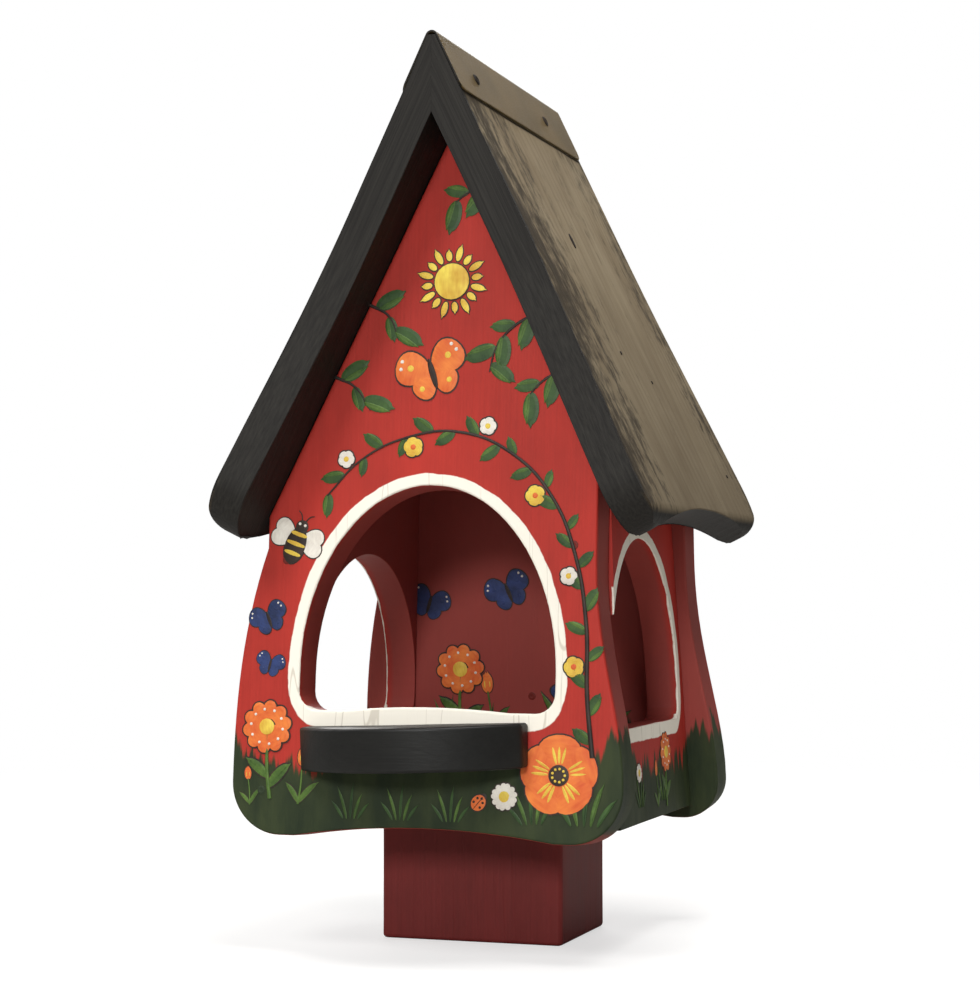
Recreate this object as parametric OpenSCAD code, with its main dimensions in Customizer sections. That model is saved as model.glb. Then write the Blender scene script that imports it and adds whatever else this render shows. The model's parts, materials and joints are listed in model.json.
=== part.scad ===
// Wooden bird feeder: a small flared house under a steep two-board roof,
// carried on a short post.  Millimetres, +Z up, front towards -Y.
// The origin is the middle of the post's foot.

/* [Roof] */
// Height of the line where the outer faces of the two roof boards would meet
roof_top = 415.8; // [380:0.1:480]
// Angle between each roof board and the vertical
roof_slope = 25.9; // [20:0.1:32]
// Length of each roof board down its slope
roof_run = 245; // [230:1:300]
// Length of the roof along the ridge
ridge_len = 184; // [160:1:230]
// How far each end of a roof board swings out on its way to the eave
eave_flare = 20; // [2:1:26]
// Distance down the slope at which that swing begins
flare_from = 118; // [90:1:150]
// Length over which it eases in
flare_ease = 24; // [8:1:40]
// Depth of the shallow scallop along each eave
eave_scallop = 9; // [2:0.5:16]
// Thickness of the roof boards
roof_t = 16.5; // [12:0.5:24]
// Radius of the roof board corners beside the scallop
eave_corner_r = 22; // [4:0.5:28]
// Radius worn on the outer arris of the eave
eave_arris_r = 10; // [3:0.5:11]

/* [Ridge cap] */
// Width of the cap on each side of the ridge
cap_leg = 28; // [18:1:45]
// Thickness of the cap strip
cap_t = 1; // [1:0.25:4]
// Inner radius of the bend over the ridge
cap_bend_r = 2; // [2:0.5:6]
// Radius of the cap's four corners
cap_corner_r = 5; // [2:0.5:9]

/* [Gable planks] */
// Thickness of the front and back planks
gable_t = 20; // [15:0.5:25]
// Distance between the outer faces of the two planks, at the height lean_z
house_depth = 140; // [120:1:165]
// How far the two planks lean out at the foot, from the vertical
gable_lean = 4.5; // [0:0.5:6]
// Height of the feet of the planks above the ground
foot_z = 53.5; // [45:0.5:62]
// Half width of a plank just under the eaves
waist_w = 79; // [72:1:86]
// Half width of a plank across its feet
foot_w = 93.3; // [86:0.1:104]
// Radius of the feet of the front plank
foot_r = 24; // [12:1:30]
// Radius of the feet of the back plank
back_foot_r = 18; // [12:1:30]
// Rise of the hollow between the feet
foot_hollow = 5; // [2:0.5:10]
// How far the front plank sits to the left of the ridge
front_shift = 7.5; // [0:0.5:9]

/* [Front opening] */
// Half width of the front opening
door_w = 61; // [45:1:64]
// Height of its springing line
door_spring = 128; // [120:1:140]
// Rise of its arch over the springing line
door_rise = 85; // [70:1:90]
// Height of its sill
door_sill = 111; // [106:1:118]
// Radius of its two lower corners
door_corner_r = 9; // [4:1:14]
// Rise of the low hump along the sill
door_hump = 2; // [0.4:0.2:3]
// Half width of that hump
door_hump_w = 40; // [15:1:44]

/* [Side walls and floor] */
// Thickness of the side walls
side_t = 16; // [12:0.5:20]
// Distance from the ridge to the outer face of the right wall, at the height side_z
side_w = 73; // [68:0.5:76]
// How much further out the left wall stands than the right one
left_set = 4; // [0:0.5:9]
// How far the side walls lean out at the foot, from the vertical
side_lean = 3; // [0:0.5:5]
// Height of the lower edge of the side walls
side_foot_z = 59; // [52:0.5:68]
// Width of wall left behind the right opening, at its springing line
window_jamb = 10; // [4:0.5:20]
// The same width behind the left opening
left_window_jamb = 1.5; // [1:0.5:10]
// How far the right opening runs past the inner face of the front plank
window_lap = 4; // [1:0.5:8]
// How far the left opening runs past the same face
left_window_lap = 22; // [4:1:26]
// Height of the springing line of the right opening
window_spring = 125; // [115:1:135]
// Height of the springing line of the left opening
left_window_spring = 112; // [112:1:128]
// Rise of the right opening's arch over its springing line
window_rise = 65; // [55:1:70]
// Rise of the left opening's arch over its springing line
left_window_rise = 72; // [60:1:74]
// Height of the sill of the side openings
window_sill = 103; // [98:1:110]
// Radius of their lower corners
window_corner_r = 8; // [3:1:12]
// Height of the top of the floor
floor_z = 92; // [84:1:98]
// Thickness of the floor board
floor_t = 18; // [12:0.5:22]

/* [Feeding ledge] */
// Half width of the ledge
ledge_w = 53; // [40:1:70]
// How far the ledge stands out from the wall
ledge_out = 34; // [20:1:45]
// Depth of the straight ends of the ledge, before its front curves
ledge_end = 10; // [4:1:14]
// Height of the top of the ledge at its middle
ledge_top = 105.8; // [96:0.2:108]
// Thickness of the ledge
ledge_t = 20; // [14:0.5:24]
// How far the ledge sits to the left of the front opening
ledge_shift = 3.5; // [0:0.5:8]
// Tilt of the ledge, up to the right
ledge_tilt = 2; // [0:0.25:3]

/* [Post] */
// Width of the post
post_w = 90; // [70:1:100]
// Depth of the post
post_d = 72; // [60:1:90]
// Radius of the post's upright arrises
post_r = 3; // [2:0.5:9]
// How far the house sits to the right of the post's middle
house_x = 5; // [0:0.5:8]
// How far the house sits forward of the post's middle
house_y = 11; // [0:0.5:15]

/* [Hidden] */
$fn = 96;

// Longer than any part of the house, for cutting tools.
far = 600;
// Heights at which house_depth and side_w are measured.
lean_z = 253;
side_z = 185;
// Height of the line where the undersides of the roof boards meet.
soffit_top = roof_top - roof_t / sin(roof_slope);
// Height of the planed top of the ridge, under the cap's bend.
bend_z = roof_top - cap_bend_r / sin(roof_slope);
ridge_flat_z = bend_z + cap_bend_r * sin(roof_slope);
// Steps round the cap's bend.
bend_steps = 16;
// Steps along the curved edges of the planks and of the ends of the roof boards.
edge_steps = 14;
flare_steps = 28;
// Steps round an arch and round the corner of a sill or an eave.
arch_steps = 44;
corner_steps = 6;
eave_steps = 14;

// Half distance from the middle of the house to a plank's outer face, at height z.
function plank_y(z) = house_depth / 2 + (lean_z - z) * tan(gable_lean);
// The same distance to the plank's inner face.
function plank_in_y(z) = plank_y(z) - gable_t / cos(gable_lean);
// Half width of the underside of the roof at height z.
function soffit_x(z) = (soffit_top - z) * tan(roof_slope);
// Two ways of widening from 0 to 1: a full belly, and a late outward flick.
function belly(t) = 1 - pow(1 - t, 2.5);
function flick(t) = 3 * pow(t, 2.4) - 2 * pow(t, 3.6);
// Half length of a roof board at distance s down its slope: level, then swinging out.
function ease(x) = (x + sqrt(pow(x, 2) + pow(flare_ease, 2))) / 2;
function flare(s) = ease(s - flare_from) - ease(-flare_from);
function roof_half(s) = ridge_len / 2 + eave_flare * flare(s) / flare(roof_run);

// ---- Shared outlines -------------------------------------------------

// Points along an ellipse about c, from angle a0 to a1 in n steps.
function sweep(c, rx, ry, a0, a1, n) =
    [for (i = [0:n]) let(a = a0 + (a1 - a0) * i / n) [c.x + rx * cos(a), c.y + ry * sin(a)]];

// An egg-shaped opening: half an ellipse, upright jambs, a sill with rounded corners.
module opening(w, spring, rise, sill, r) {
    polygon(concat(
        sweep([0, spring], w, rise, 0, 180, arch_steps),
        sweep([r - w, sill + r], r, r, 180, 270, corner_steps),
        sweep([w - r, sill + r], r, r, 270, 360, corner_steps)));
}

// The outline of a front or back plank on feet of radius r, before the roof trims its top.
module plank_outline(r) {
    wide_z = foot_z + r;
    left = [for (i = [0:edge_steps]) let(t = i / edge_steps)
        [-waist_w - (foot_w - waist_w) * belly(t), side_z - (side_z - wide_z) * t]];
    right = [for (i = [edge_steps:-1:0]) let(t = i / edge_steps)
        [waist_w + (foot_w - waist_w) * flick(t), side_z - (side_z - wide_z) * t]];
    hollow_w = foot_w - 1.3 * r;
    hollow_r = (pow(hollow_w, 2) + pow(foot_hollow, 2)) / (2 * foot_hollow);
    difference() {
        union() {
            polygon(concat([[-waist_w, roof_top]], left, right, [[waist_w, roof_top]]));
            for (side = [-1, 1]) translate([side * (foot_w - r), wide_z]) circle(r);
            translate([r - foot_w, foot_z]) square([2 * (foot_w - r), r + 1]);
        }
        translate([0, foot_z + foot_hollow - hollow_r]) circle(hollow_r, $fn = 720);
    }
}

// ---- Shared volumes, in the frame of the house -------------------------

// Everything above the undersides of the roof boards.
module over_soffit() {
    rotate([90, 0, 0]) linear_extrude(far, center = true)
        polygon([[0, soffit_top], [soffit_x(0), 0], [far, 0], [far, far], [-far, far], [-far, 0],
            [-soffit_x(0), 0]]);
}

// The space between the inner faces of the two leaning planks.
module between_planks() {
    top_y = plank_in_y(roof_top);
    bottom_y = plank_in_y(0);
    rotate([90, 0, 90]) linear_extrude(far, center = true)
        polygon([[-bottom_y, 0], [bottom_y, 0], [top_y, roof_top], [-top_y, roof_top]]);
}

// A plank stood on its lean: its outer face is at y = 0 before it is placed.
module lean_plank(shift) {
    difference() {
        translate([0, -house_depth / 2, lean_z]) rotate([-gable_lean, 0, 0])
            translate([-shift, gable_t, -lean_z]) rotate([90, 0, 0]) linear_extrude(gable_t)
                children();
        over_soffit();
    }
}

// ---- Sub-parts ---------------------------------------------------------

module house_place() {
    translate([house_x, -house_y, 0]) children();
}

module front_wall() {
    hump_r = (pow(door_hump_w, 2) + pow(door_hump, 2)) / (2 * door_hump);
    color("firebrick") house_place() lean_plank(front_shift) difference() {
        plank_outline(foot_r);
        difference() {
            opening(door_w, door_spring, door_rise, door_sill, door_corner_r);
            translate([0, door_sill + door_hump - hump_r]) circle(hump_r, $fn = 720);
        }
    }
}

module back_wall() {
    color("firebrick") house_place() mirror([0, 1, 0]) lean_plank(0)
        plank_outline(back_foot_r);
}

// One side wall, drawn for the right; the left one is mirrored, with its own set and opening.
// The opening stops jamb short of the back plank and runs lap past the front one.
module side_wall(out_x, spring, rise, jamb, lap) {
    half_w = plank_in_y(spring) + (lap - jamb) / 2;
    forward = (lap + jamb) / 2;
    corner_r = min(window_corner_r, spring - window_sill - 0.5);
    difference() {
        intersection() {
            translate([out_x, 0, side_z]) rotate([0, -side_lean, 0])
                translate([-side_t, 0, -side_z]) rotate([90, 0, 90]) linear_extrude(side_t)
                    difference() {
                        translate([-far / 2, side_foot_z]) square([far, far]);
                        translate([-forward, 0])
                            opening(half_w, spring, rise, window_sill, corner_r);
                    }
            between_planks();
        }
        over_soffit();
    }
}

module right_wall() {
    color("brown") house_place()
        side_wall(side_w, window_spring, window_rise, window_jamb, window_lap);
}

module left_wall() {
    color("brown") house_place() mirror([1, 0, 0])
        side_wall(side_w + left_set, left_window_spring, left_window_rise, left_window_jamb,
            left_window_lap);
}

// Distance from the ridge to a side wall's inner face, at height z.
function side_in_x(out_x, z) = out_x + (side_z - z) * tan(side_lean) - side_t / cos(side_lean);

module floor_board() {
    left = side_w + left_set;
    color("saddlebrown") house_place() intersection() {
        translate([-far / 2, -far / 2, floor_z - floor_t]) cube([far, far, floor_t]);
        between_planks();
        rotate([90, 0, 0]) linear_extrude(far, center = true)
            polygon([[-side_in_x(left, 0), 0], [side_in_x(side_w, 0), 0],
                [side_in_x(side_w, roof_top), roof_top], [-side_in_x(left, roof_top), roof_top]]);
    }
}

// Outline of a roof board laid flat: x along the ridge, y down the slope.
module roof_outline() {
    swing = roof_half(roof_run) - roof_half(roof_run - 1);
    dip_half = roof_half(roof_run) - eave_corner_r * (swing + sqrt(1 + pow(swing, 2)));
    dip_r = (pow(dip_half, 2) + pow(eave_scallop, 2)) / (2 * eave_scallop);
    end_run = roof_run - eave_corner_r * (1 + sin(atan(swing)));
    half = concat(
        [for (i = [0:flare_steps - 1]) let(s = end_run * i / flare_steps) [roof_half(s), s]],
        sweep([dip_half, roof_run - eave_corner_r], eave_corner_r, eave_corner_r,
            -atan(swing), 90, eave_steps));
    difference() {
        polygon(concat(half, [for (i = [len(half) - 1:-1:0]) [-half[i].x, half[i].y]]));
        translate([0, roof_run + dip_r - eave_scallop]) circle(dip_r, $fn = 1440);
    }
}

// The right roof board: hung down the slope from the ridge, mitred and planed at the top.
module roof_board() {
    intersection() {
        translate([0, 0, roof_top]) rotate([0, 90 - roof_slope, 0]) rotate([0, 0, -90])
            translate([0, 0, -roof_t]) linear_extrude(roof_t) roof_outline();
        translate([0, 0, roof_top]) rotate([90, 0, 0]) linear_extrude(far, center = true)
            rotate(roof_slope) roof_section();
        translate([0, -far / 2, 0]) cube([far, far, ridge_flat_z]);
    }
}

// Section through a roof board, hanging straight down from the ridge: worn outer arris.
module roof_section() {
    inner_r = eave_arris_r / 3;
    translate([-roof_t, eave_arris_r - roof_run]) square([roof_t, roof_run]);
    translate([inner_r - roof_t, -roof_run])
        square([roof_t - inner_r - eave_arris_r, eave_arris_r + 1]);
    translate([-eave_arris_r, eave_arris_r - roof_run]) circle(eave_arris_r);
    translate([inner_r - roof_t, inner_r - roof_run]) circle(inner_r);
    translate([-roof_t, inner_r - roof_run])
        square([roof_t - eave_arris_r, eave_arris_r]);
}

module roof_right() {
    color("dimgray") house_place() roof_board();
}

module roof_left() {
    color("dimgray") house_place() mirror([1, 0, 0]) roof_board();
}

// The strip over the ridge: two legs and a bend, with rounded corners.
module ridge_cap() {
    outer = cap_face(cap_bend_r + cap_t);
    inner = cap_face(cap_bend_r);
    color("rosybrown") house_place() difference() {
        translate([0, 0, bend_z]) rotate([90, 0, 0]) linear_extrude(ridge_len, center = true)
            polygon(concat(outer, [for (i = [len(inner) - 1:-1:0]) inner[i]]));
        for (side = [0, 1], end = [0, 1]) mirror([side, 0, 0]) mirror([0, end, 0])
            cap_corner_cut();
    }
}

// One face of the strip, from its right edge round the bend to its left edge.
function cap_face(r) = concat(
    [[r * cos(roof_slope) + cap_leg * sin(roof_slope),
        r * sin(roof_slope) - cap_leg * cos(roof_slope)]],
    sweep([0, 0], r, r, roof_slope, 180 - roof_slope, bend_steps),
    [[-r * cos(roof_slope) - cap_leg * sin(roof_slope),
        r * sin(roof_slope) - cap_leg * cos(roof_slope)]]);

// What rounds off the cap's lower front corner on the right.
module cap_corner_cut() {
    translate([0, 0, bend_z]) rotate([0, 90 - roof_slope, 0])
        translate([cap_leg - cap_corner_r, cap_corner_r - ridge_len / 2, 0]) difference() {
            translate([0, -2 * cap_corner_r, 0]) cube([2 * cap_corner_r, 2 * cap_corner_r, far]);
            cylinder(r = cap_corner_r, h = 3 * far, center = true);
        }
}

// The ledge under the front opening: straight ends, a bowed front, its back on the wall.
module feeding_ledge() {
    bow = ledge_out - ledge_end;
    bow_r = (pow(ledge_w, 2) + pow(bow, 2)) / (2 * bow);
    wall_y = plank_y(ledge_top);
    color("black") house_place() difference() {
        translate([-front_shift - ledge_shift, -wall_y, ledge_top]) rotate([0, -ledge_tilt, 0])
            translate([0, 0, -ledge_t]) linear_extrude(ledge_t) intersection() {
                translate([-ledge_w, -ledge_out]) square([2 * ledge_w, ledge_out + gable_t]);
                translate([0, bow_r - ledge_out]) circle(bow_r, $fn = 360);
            }
        rotate([90, 0, 90]) linear_extrude(far, center = true)
            polygon([[-plank_y(0), 0], [-plank_y(far), far], [far, far], [far, 0]]);
    }
}

module post_stub() {
    color("maroon") linear_extrude(floor_z - floor_t) {
        square([post_w - 2 * post_r, post_d], center = true);
        square([post_w, post_d - 2 * post_r], center = true);
        for (x = [-1, 1], y = [-1, 1])
            translate([x * (post_w / 2 - post_r), y * (post_d / 2 - post_r)]) circle(post_r);
    }
}

front_wall();
back_wall();
left_wall();
right_wall();
floor_board();
roof_left();
roof_right();
ridge_cap();
feeding_ledge();
post_stub();
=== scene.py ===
"""Looks of a painted wooden bird feeder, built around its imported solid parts.

Everything is in metres, in the frame of the solid parts: +Z up, front towards -Y, the
origin in the middle of the post's foot.  Sizes written here are millimetres.
"""

import json
import logging
import math
from dataclasses import dataclass, field
from enum import Enum
from typing import Any, Callable, ClassVar, Iterable, Sequence

import bpy
from mathutils import Euler, Matrix, Vector, noise

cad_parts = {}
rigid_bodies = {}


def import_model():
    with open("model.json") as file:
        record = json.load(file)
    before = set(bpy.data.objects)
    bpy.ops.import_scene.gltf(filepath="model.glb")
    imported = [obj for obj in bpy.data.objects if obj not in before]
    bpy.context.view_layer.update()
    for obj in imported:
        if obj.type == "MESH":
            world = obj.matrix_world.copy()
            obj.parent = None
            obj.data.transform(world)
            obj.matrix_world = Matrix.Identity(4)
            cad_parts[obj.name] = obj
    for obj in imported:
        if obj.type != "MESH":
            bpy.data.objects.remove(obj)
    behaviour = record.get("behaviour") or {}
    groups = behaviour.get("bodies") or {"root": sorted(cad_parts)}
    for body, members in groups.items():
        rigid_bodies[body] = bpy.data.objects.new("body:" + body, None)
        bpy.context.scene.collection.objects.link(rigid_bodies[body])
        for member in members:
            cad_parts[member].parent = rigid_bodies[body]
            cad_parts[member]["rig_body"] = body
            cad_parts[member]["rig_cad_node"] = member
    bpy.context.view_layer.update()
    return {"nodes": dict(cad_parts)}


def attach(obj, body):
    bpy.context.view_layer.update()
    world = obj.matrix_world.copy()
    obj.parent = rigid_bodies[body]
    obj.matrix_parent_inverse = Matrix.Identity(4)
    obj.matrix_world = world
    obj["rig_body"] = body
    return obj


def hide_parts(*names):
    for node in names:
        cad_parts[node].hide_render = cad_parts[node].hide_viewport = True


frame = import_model()

log = logging.getLogger("feeder")
MM = 0.001

# The touches of a motif, and a rule that gives a value from u, v and depth in millimetres.
Strokes = list[list[bpy.types.Object]]
Rule = Callable[[float, float, float], float]

# Kinds of shader node.
MATH = "ShaderNodeMath"
MIX = "ShaderNodeMix"
RANGE = "ShaderNodeMapRange"
NOISE = "ShaderNodeTexNoise"
ATTRIBUTE = "ShaderNodeAttribute"
MAPPING = "ShaderNodeMapping"
COORDS = "ShaderNodeTexCoord"
BUMP = "ShaderNodeBump"
SPLIT = "ShaderNodeSeparateXYZ"


# ---- Helpers -------------------------------------------------------------------------


def linear(colour: str) -> tuple[float, float, float, float]:
    """Turns an sRGB hex colour into the linear colour and alpha that a shader takes."""
    parts = [int(colour[i:i + 2], 16) / 255 for i in (1, 3, 5)]
    return (*((c / 12.92 if c <= 0.04045 else ((c + 0.055) / 1.055) ** 2.4) for c in parts), 1.0)


def select_only(*objects: bpy.types.Object) -> None:
    """Selects these objects and no others, and makes the first one active.

    Args:
        objects: The objects.
    """
    if bpy.context.object and bpy.context.object.mode != "OBJECT":
        bpy.ops.object.mode_set(mode="OBJECT")
    bpy.ops.object.select_all(action="DESELECT")
    for obj in objects:
        obj.select_set(True)
    bpy.context.view_layer.objects.active = objects[0]


def apply_modifier(obj: bpy.types.Object, kind: str, **settings: Any) -> None:
    """Adds a modifier to an object and applies it.

    Args:
        obj: The object.
        kind: The modifier's type.
        settings: The modifier's properties.
    """
    modifier = obj.modifiers.new(kind.lower(), kind)
    for name, value in settings.items():
        setattr(modifier, name, value)
    select_only(obj)
    bpy.ops.object.modifier_apply(modifier=modifier.name)


def join(objects: Sequence[bpy.types.Object], name: str) -> bpy.types.Object:
    """Joins objects into one mesh under a new name.

    Args:
        objects: The objects, of which the first takes in the rest.
        name: The new name.

    Returns:
        The joined object.
    """
    select_only(*objects)
    if len(objects) > 1:
        bpy.ops.object.join()
    objects[0].name = name
    objects[0].data.name = name
    return objects[0]


def copy_of(obj: bpy.types.Object) -> bpy.types.Object:
    """Copies an object, with a mesh of its own.

    Args:
        obj: The object.

    Returns:
        The copy.
    """
    twin = obj.copy()
    twin.data = obj.data.copy()
    bpy.context.scene.collection.objects.link(twin)
    return twin


def settle(obj: bpy.types.Object, matrix: Matrix) -> bpy.types.Object:
    """Moves an object by a matrix, and writes its place into its mesh.

    Args:
        obj: The object.
        matrix: The move.

    Returns:
        The same object.
    """
    obj.matrix_world = matrix @ obj.matrix_world
    select_only(obj)
    bpy.ops.object.transform_apply(location=True, rotation=True, scale=True)
    return obj


def hand_in(obj: bpy.types.Object, slot: str, *nodes: str) -> bpy.types.Object:
    """Makes a finished piece ride on the house, and hides the solid parts that it replaces.

    Args:
        obj: The finished piece.
        slot: Not used.
        nodes: The solid parts that it replaces.

    Returns:
        The piece.
    """
    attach(obj, "root")
    if nodes:
        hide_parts(*nodes)
    log.info("%s: %d faces", obj.name, len(obj.data.polygons))
    return obj


class Recipe:
    """The shader nodes of a material or of the world, which are added one at a time."""

    def __init__(self, owner: bpy.types.Material | bpy.types.World) -> None:
        """Starts with no nodes.

        Args:
            owner: The material, or the world.
        """
        self.owner = owner
        owner.use_nodes = True
        self.tree = owner.node_tree
        self.tree.nodes.clear()

    def add(self, kind: str, sockets: dict[Any, Any] | None = None, out: Any = 0,
            **settings: Any) -> bpy.types.NodeSocket:
        """Adds a node, with its settings, its values and its links.

        Args:
            kind: The node's type.
            sockets: A value, or another node's output, for each input by name or number.
            out: Which output to give back.
            settings: The node's properties.

        Returns:
            The output asked for, or the node itself where it has none.
        """
        node = self.tree.nodes.new(kind)
        for name, value in settings.items():
            setattr(node, name, value)
        for key, value in (sockets or {}).items():
            if isinstance(value, bpy.types.NodeSocket):
                self.tree.links.new(value, node.inputs[key])
            else:
                node.inputs[key].default_value = value
        return node.outputs[out] if len(node.outputs) else node

    def surface(self, **sockets: Any) -> bpy.types.Material:
        """Ends a material's recipe with one Principled shader.

        Args:
            sockets: The shader's inputs, named with underscores for spaces.

        Returns:
            The finished material.
        """
        inputs = {name.replace("_", " "): value for name, value in sockets.items()}
        shader = self.add("ShaderNodeBsdfPrincipled", inputs)
        self.add("ShaderNodeOutputMaterial", {"Surface": shader})
        return self.owner


@dataclass(frozen=True)
class Face:
    """A flat face of the house: a point on it, and its directions right and up."""

    origin: Vector
    right: Vector
    up: Vector

    @property
    def out(self) -> Vector:
        """The direction out of the face."""
        return self.right.cross(self.up)

    def place(self, u: float, v: float, turn: float = 0.0, size: float = 1.0) -> Matrix:
        """Gives the place of a flat motif on the face.

        Args:
            u: Millimetres to the right.
            v: Millimetres up.
            turn: Degrees anticlockwise.
            size: Scale of the motif.

        Returns:
            A matrix that carries a motif drawn round the origin on to the face.
        """
        at = self.origin + (self.right * u + self.up * v) * MM
        axes = Matrix((self.right, self.up, self.out)).transposed().to_4x4()
        spin = Matrix.Rotation(math.radians(turn), 4, "Z")
        return Matrix.Translation(at) @ axes @ spin @ Matrix.Scale(size, 4)

    def measure(self, point: Vector) -> tuple[float, float, float]:
        """Gives a point's millimetres right, up, and deep behind the face."""
        gap = (point - self.origin) / MM
        return gap.dot(self.right), gap.dot(self.up), -gap.dot(self.out)


# ---- Sizes of the solid parts -----------------------------------------------------------


@dataclass(frozen=True)
class Opening:
    """An egg-shaped opening: half an ellipse over upright jambs and a sill.

    Attributes:
        half_width: Half its width.
        spring: Height at which the ellipse springs from the jambs.
        rise: Height of the ellipse.
        sill: Height of the sill.
        middle: How far right of the face's middle it lies.
        corner: Radius of its lower corners.
    """

    half_width: float
    spring: float
    rise: float
    sill: float
    middle: float = 0.0
    corner: float = 9.0

    def outside(self, u: float, v: float, under: float) -> float:
        """Gives the distance of a point outside the opening, in millimetres.

        Args:
            u: Millimetres to the right on the face.
            v: Millimetres up.
            under: What share of the distance counts under the sill.

        Returns:
            The distance.
        """
        x, y = (u - self.middle) / self.half_width, max(v - self.spring, 0) / self.rise
        reach = math.hypot(x, y)
        slope = math.hypot(x / self.half_width, y / self.rise) / max(reach, 1e-6)
        arch = (reach - 1) / max(slope, 1e-6)
        below = under * (self.sill - v)
        if arch > -self.corner and below > -self.corner:
            return math.hypot(arch + self.corner, below + self.corner) - self.corner
        return max(arch, below)


@dataclass(frozen=True)
class House:
    """The house's own sizes and faces, in millimetres, as the solid parts have them.

    Attributes:
        middle: Where the house's middle stands over the post's foot.
        depth: Depth over both gable planks at the height gable_z.
        gable_lean: Degrees that the gable planks lean inwards.
        gable_z: Height at which the depth and the shift are taken.
        gable_t: Thickness of a gable plank.
        front_shift: How far left of the middle the front plank stands.
        side_w: Half the width over the side walls at the height side_z.
        left_set: How much further out the left wall stands.
        side_lean: Degrees that the side walls lean inwards.
        side_z: Height at which that half width is taken.
        roof_top: Height of the ridge.
        roof_slope: Degrees between a roof board and the upright.
        roof_run: Length of a roof board down its slope.
        ridge_half: Half its length along the ridge.
        flare: How much that half grows on the way to the eave.
        flare_from: How far down the slope the flare sets in.
        flare_ease: How gently it sets in.
        cap_edge: How far down the slope the ridge strip reaches.
    """

    middle: tuple[float, float] = (5, -11)
    depth: float = 140
    gable_lean: float = 4.5
    gable_z: float = 253
    gable_t: float = 20
    front_shift: float = 7.5
    side_w: float = 73
    left_set: float = 4
    side_lean: float = 3
    side_z: float = 185
    roof_top: float = 415.8
    roof_slope: float = 25.9
    roof_run: float = 245
    ridge_half: float = 92
    flare: float = 20
    flare_from: float = 118
    flare_ease: float = 24
    cap_edge: float = 32.1
    door: Opening = Opening(61, 128, 85, 111)
    right_window: Opening = Opening(57, 125, 65, 103, -7)
    left_window: Opening = Opening(71.3, 112, 72, 103, 11.75)

    def gable(self, side: int, inner: bool = False) -> Face:
        """Gives a gable plank's face, with v measured up the plank from the ground.

        Args:
            side: -1 for the front plank and +1 for the back one.
            inner: Whether the face is the one that looks into the house.

        Returns:
            The face.
        """
        lean = math.radians(self.gable_lean)
        up = Vector((0, -side * math.sin(lean), math.cos(lean)))
        right = Vector((-side, 0, 0))
        shift = self.front_shift if side < 0 else 0
        at = Vector((self.middle[0] - shift, self.middle[1] + side * self.depth / 2, self.gable_z))
        at = (at - up * self.gable_z) * MM
        if inner:
            at -= right.cross(up) * self.gable_t * MM
            right = -right
        return Face(at, right, up)

    def flank(self, side: int) -> Face:
        """Gives a side wall's outer face, with v measured up the wall from the ground.

        Args:
            side: -1 for the left wall and +1 for the right one.

        Returns:
            The face.
        """
        lean = math.radians(self.side_lean)
        up = Vector((-side * math.sin(lean), 0, math.cos(lean)))
        reach = self.side_w + (self.left_set if side < 0 else 0)
        at = Vector((self.middle[0] + side * reach, self.middle[1], self.side_z))
        return Face((at - up * self.side_z) * MM, Vector((0, side, 0)), up)

    def slope(self, side: int) -> Face:
        """Gives a roof board's outer face, with v measured from the ridge.

        Args:
            side: -1 for the left board and +1 for the right one.

        Returns:
            The face.
        """
        tilt = math.radians(self.roof_slope)
        up = Vector((-side * math.sin(tilt), 0, math.cos(tilt)))
        at = Vector((*self.middle, self.roof_top)) * MM
        return Face(at, Vector((0, side, 0)), up)

    def roof_half(self, run: float) -> float:
        """Gives half the length of a roof board, which flares towards its eave.

        Args:
            run: Millimetres down the slope.

        Returns:
            The half length.
        """
        start, end, here = ((x + math.hypot(x, self.flare_ease)) / 2 for x in
                            (-self.flare_from, self.roof_run - self.flare_from,
                             run - self.flare_from))
        return self.ridge_half + self.flare * (here - start) / (end - start)


HOUSE = House()
FRONT = HOUSE.gable(-1)
BACK = HOUSE.gable(1)
BACK_INSIDE = HOUSE.gable(1, inner=True)


# ---- Finishes ------------------------------------------------------------------------


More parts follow.
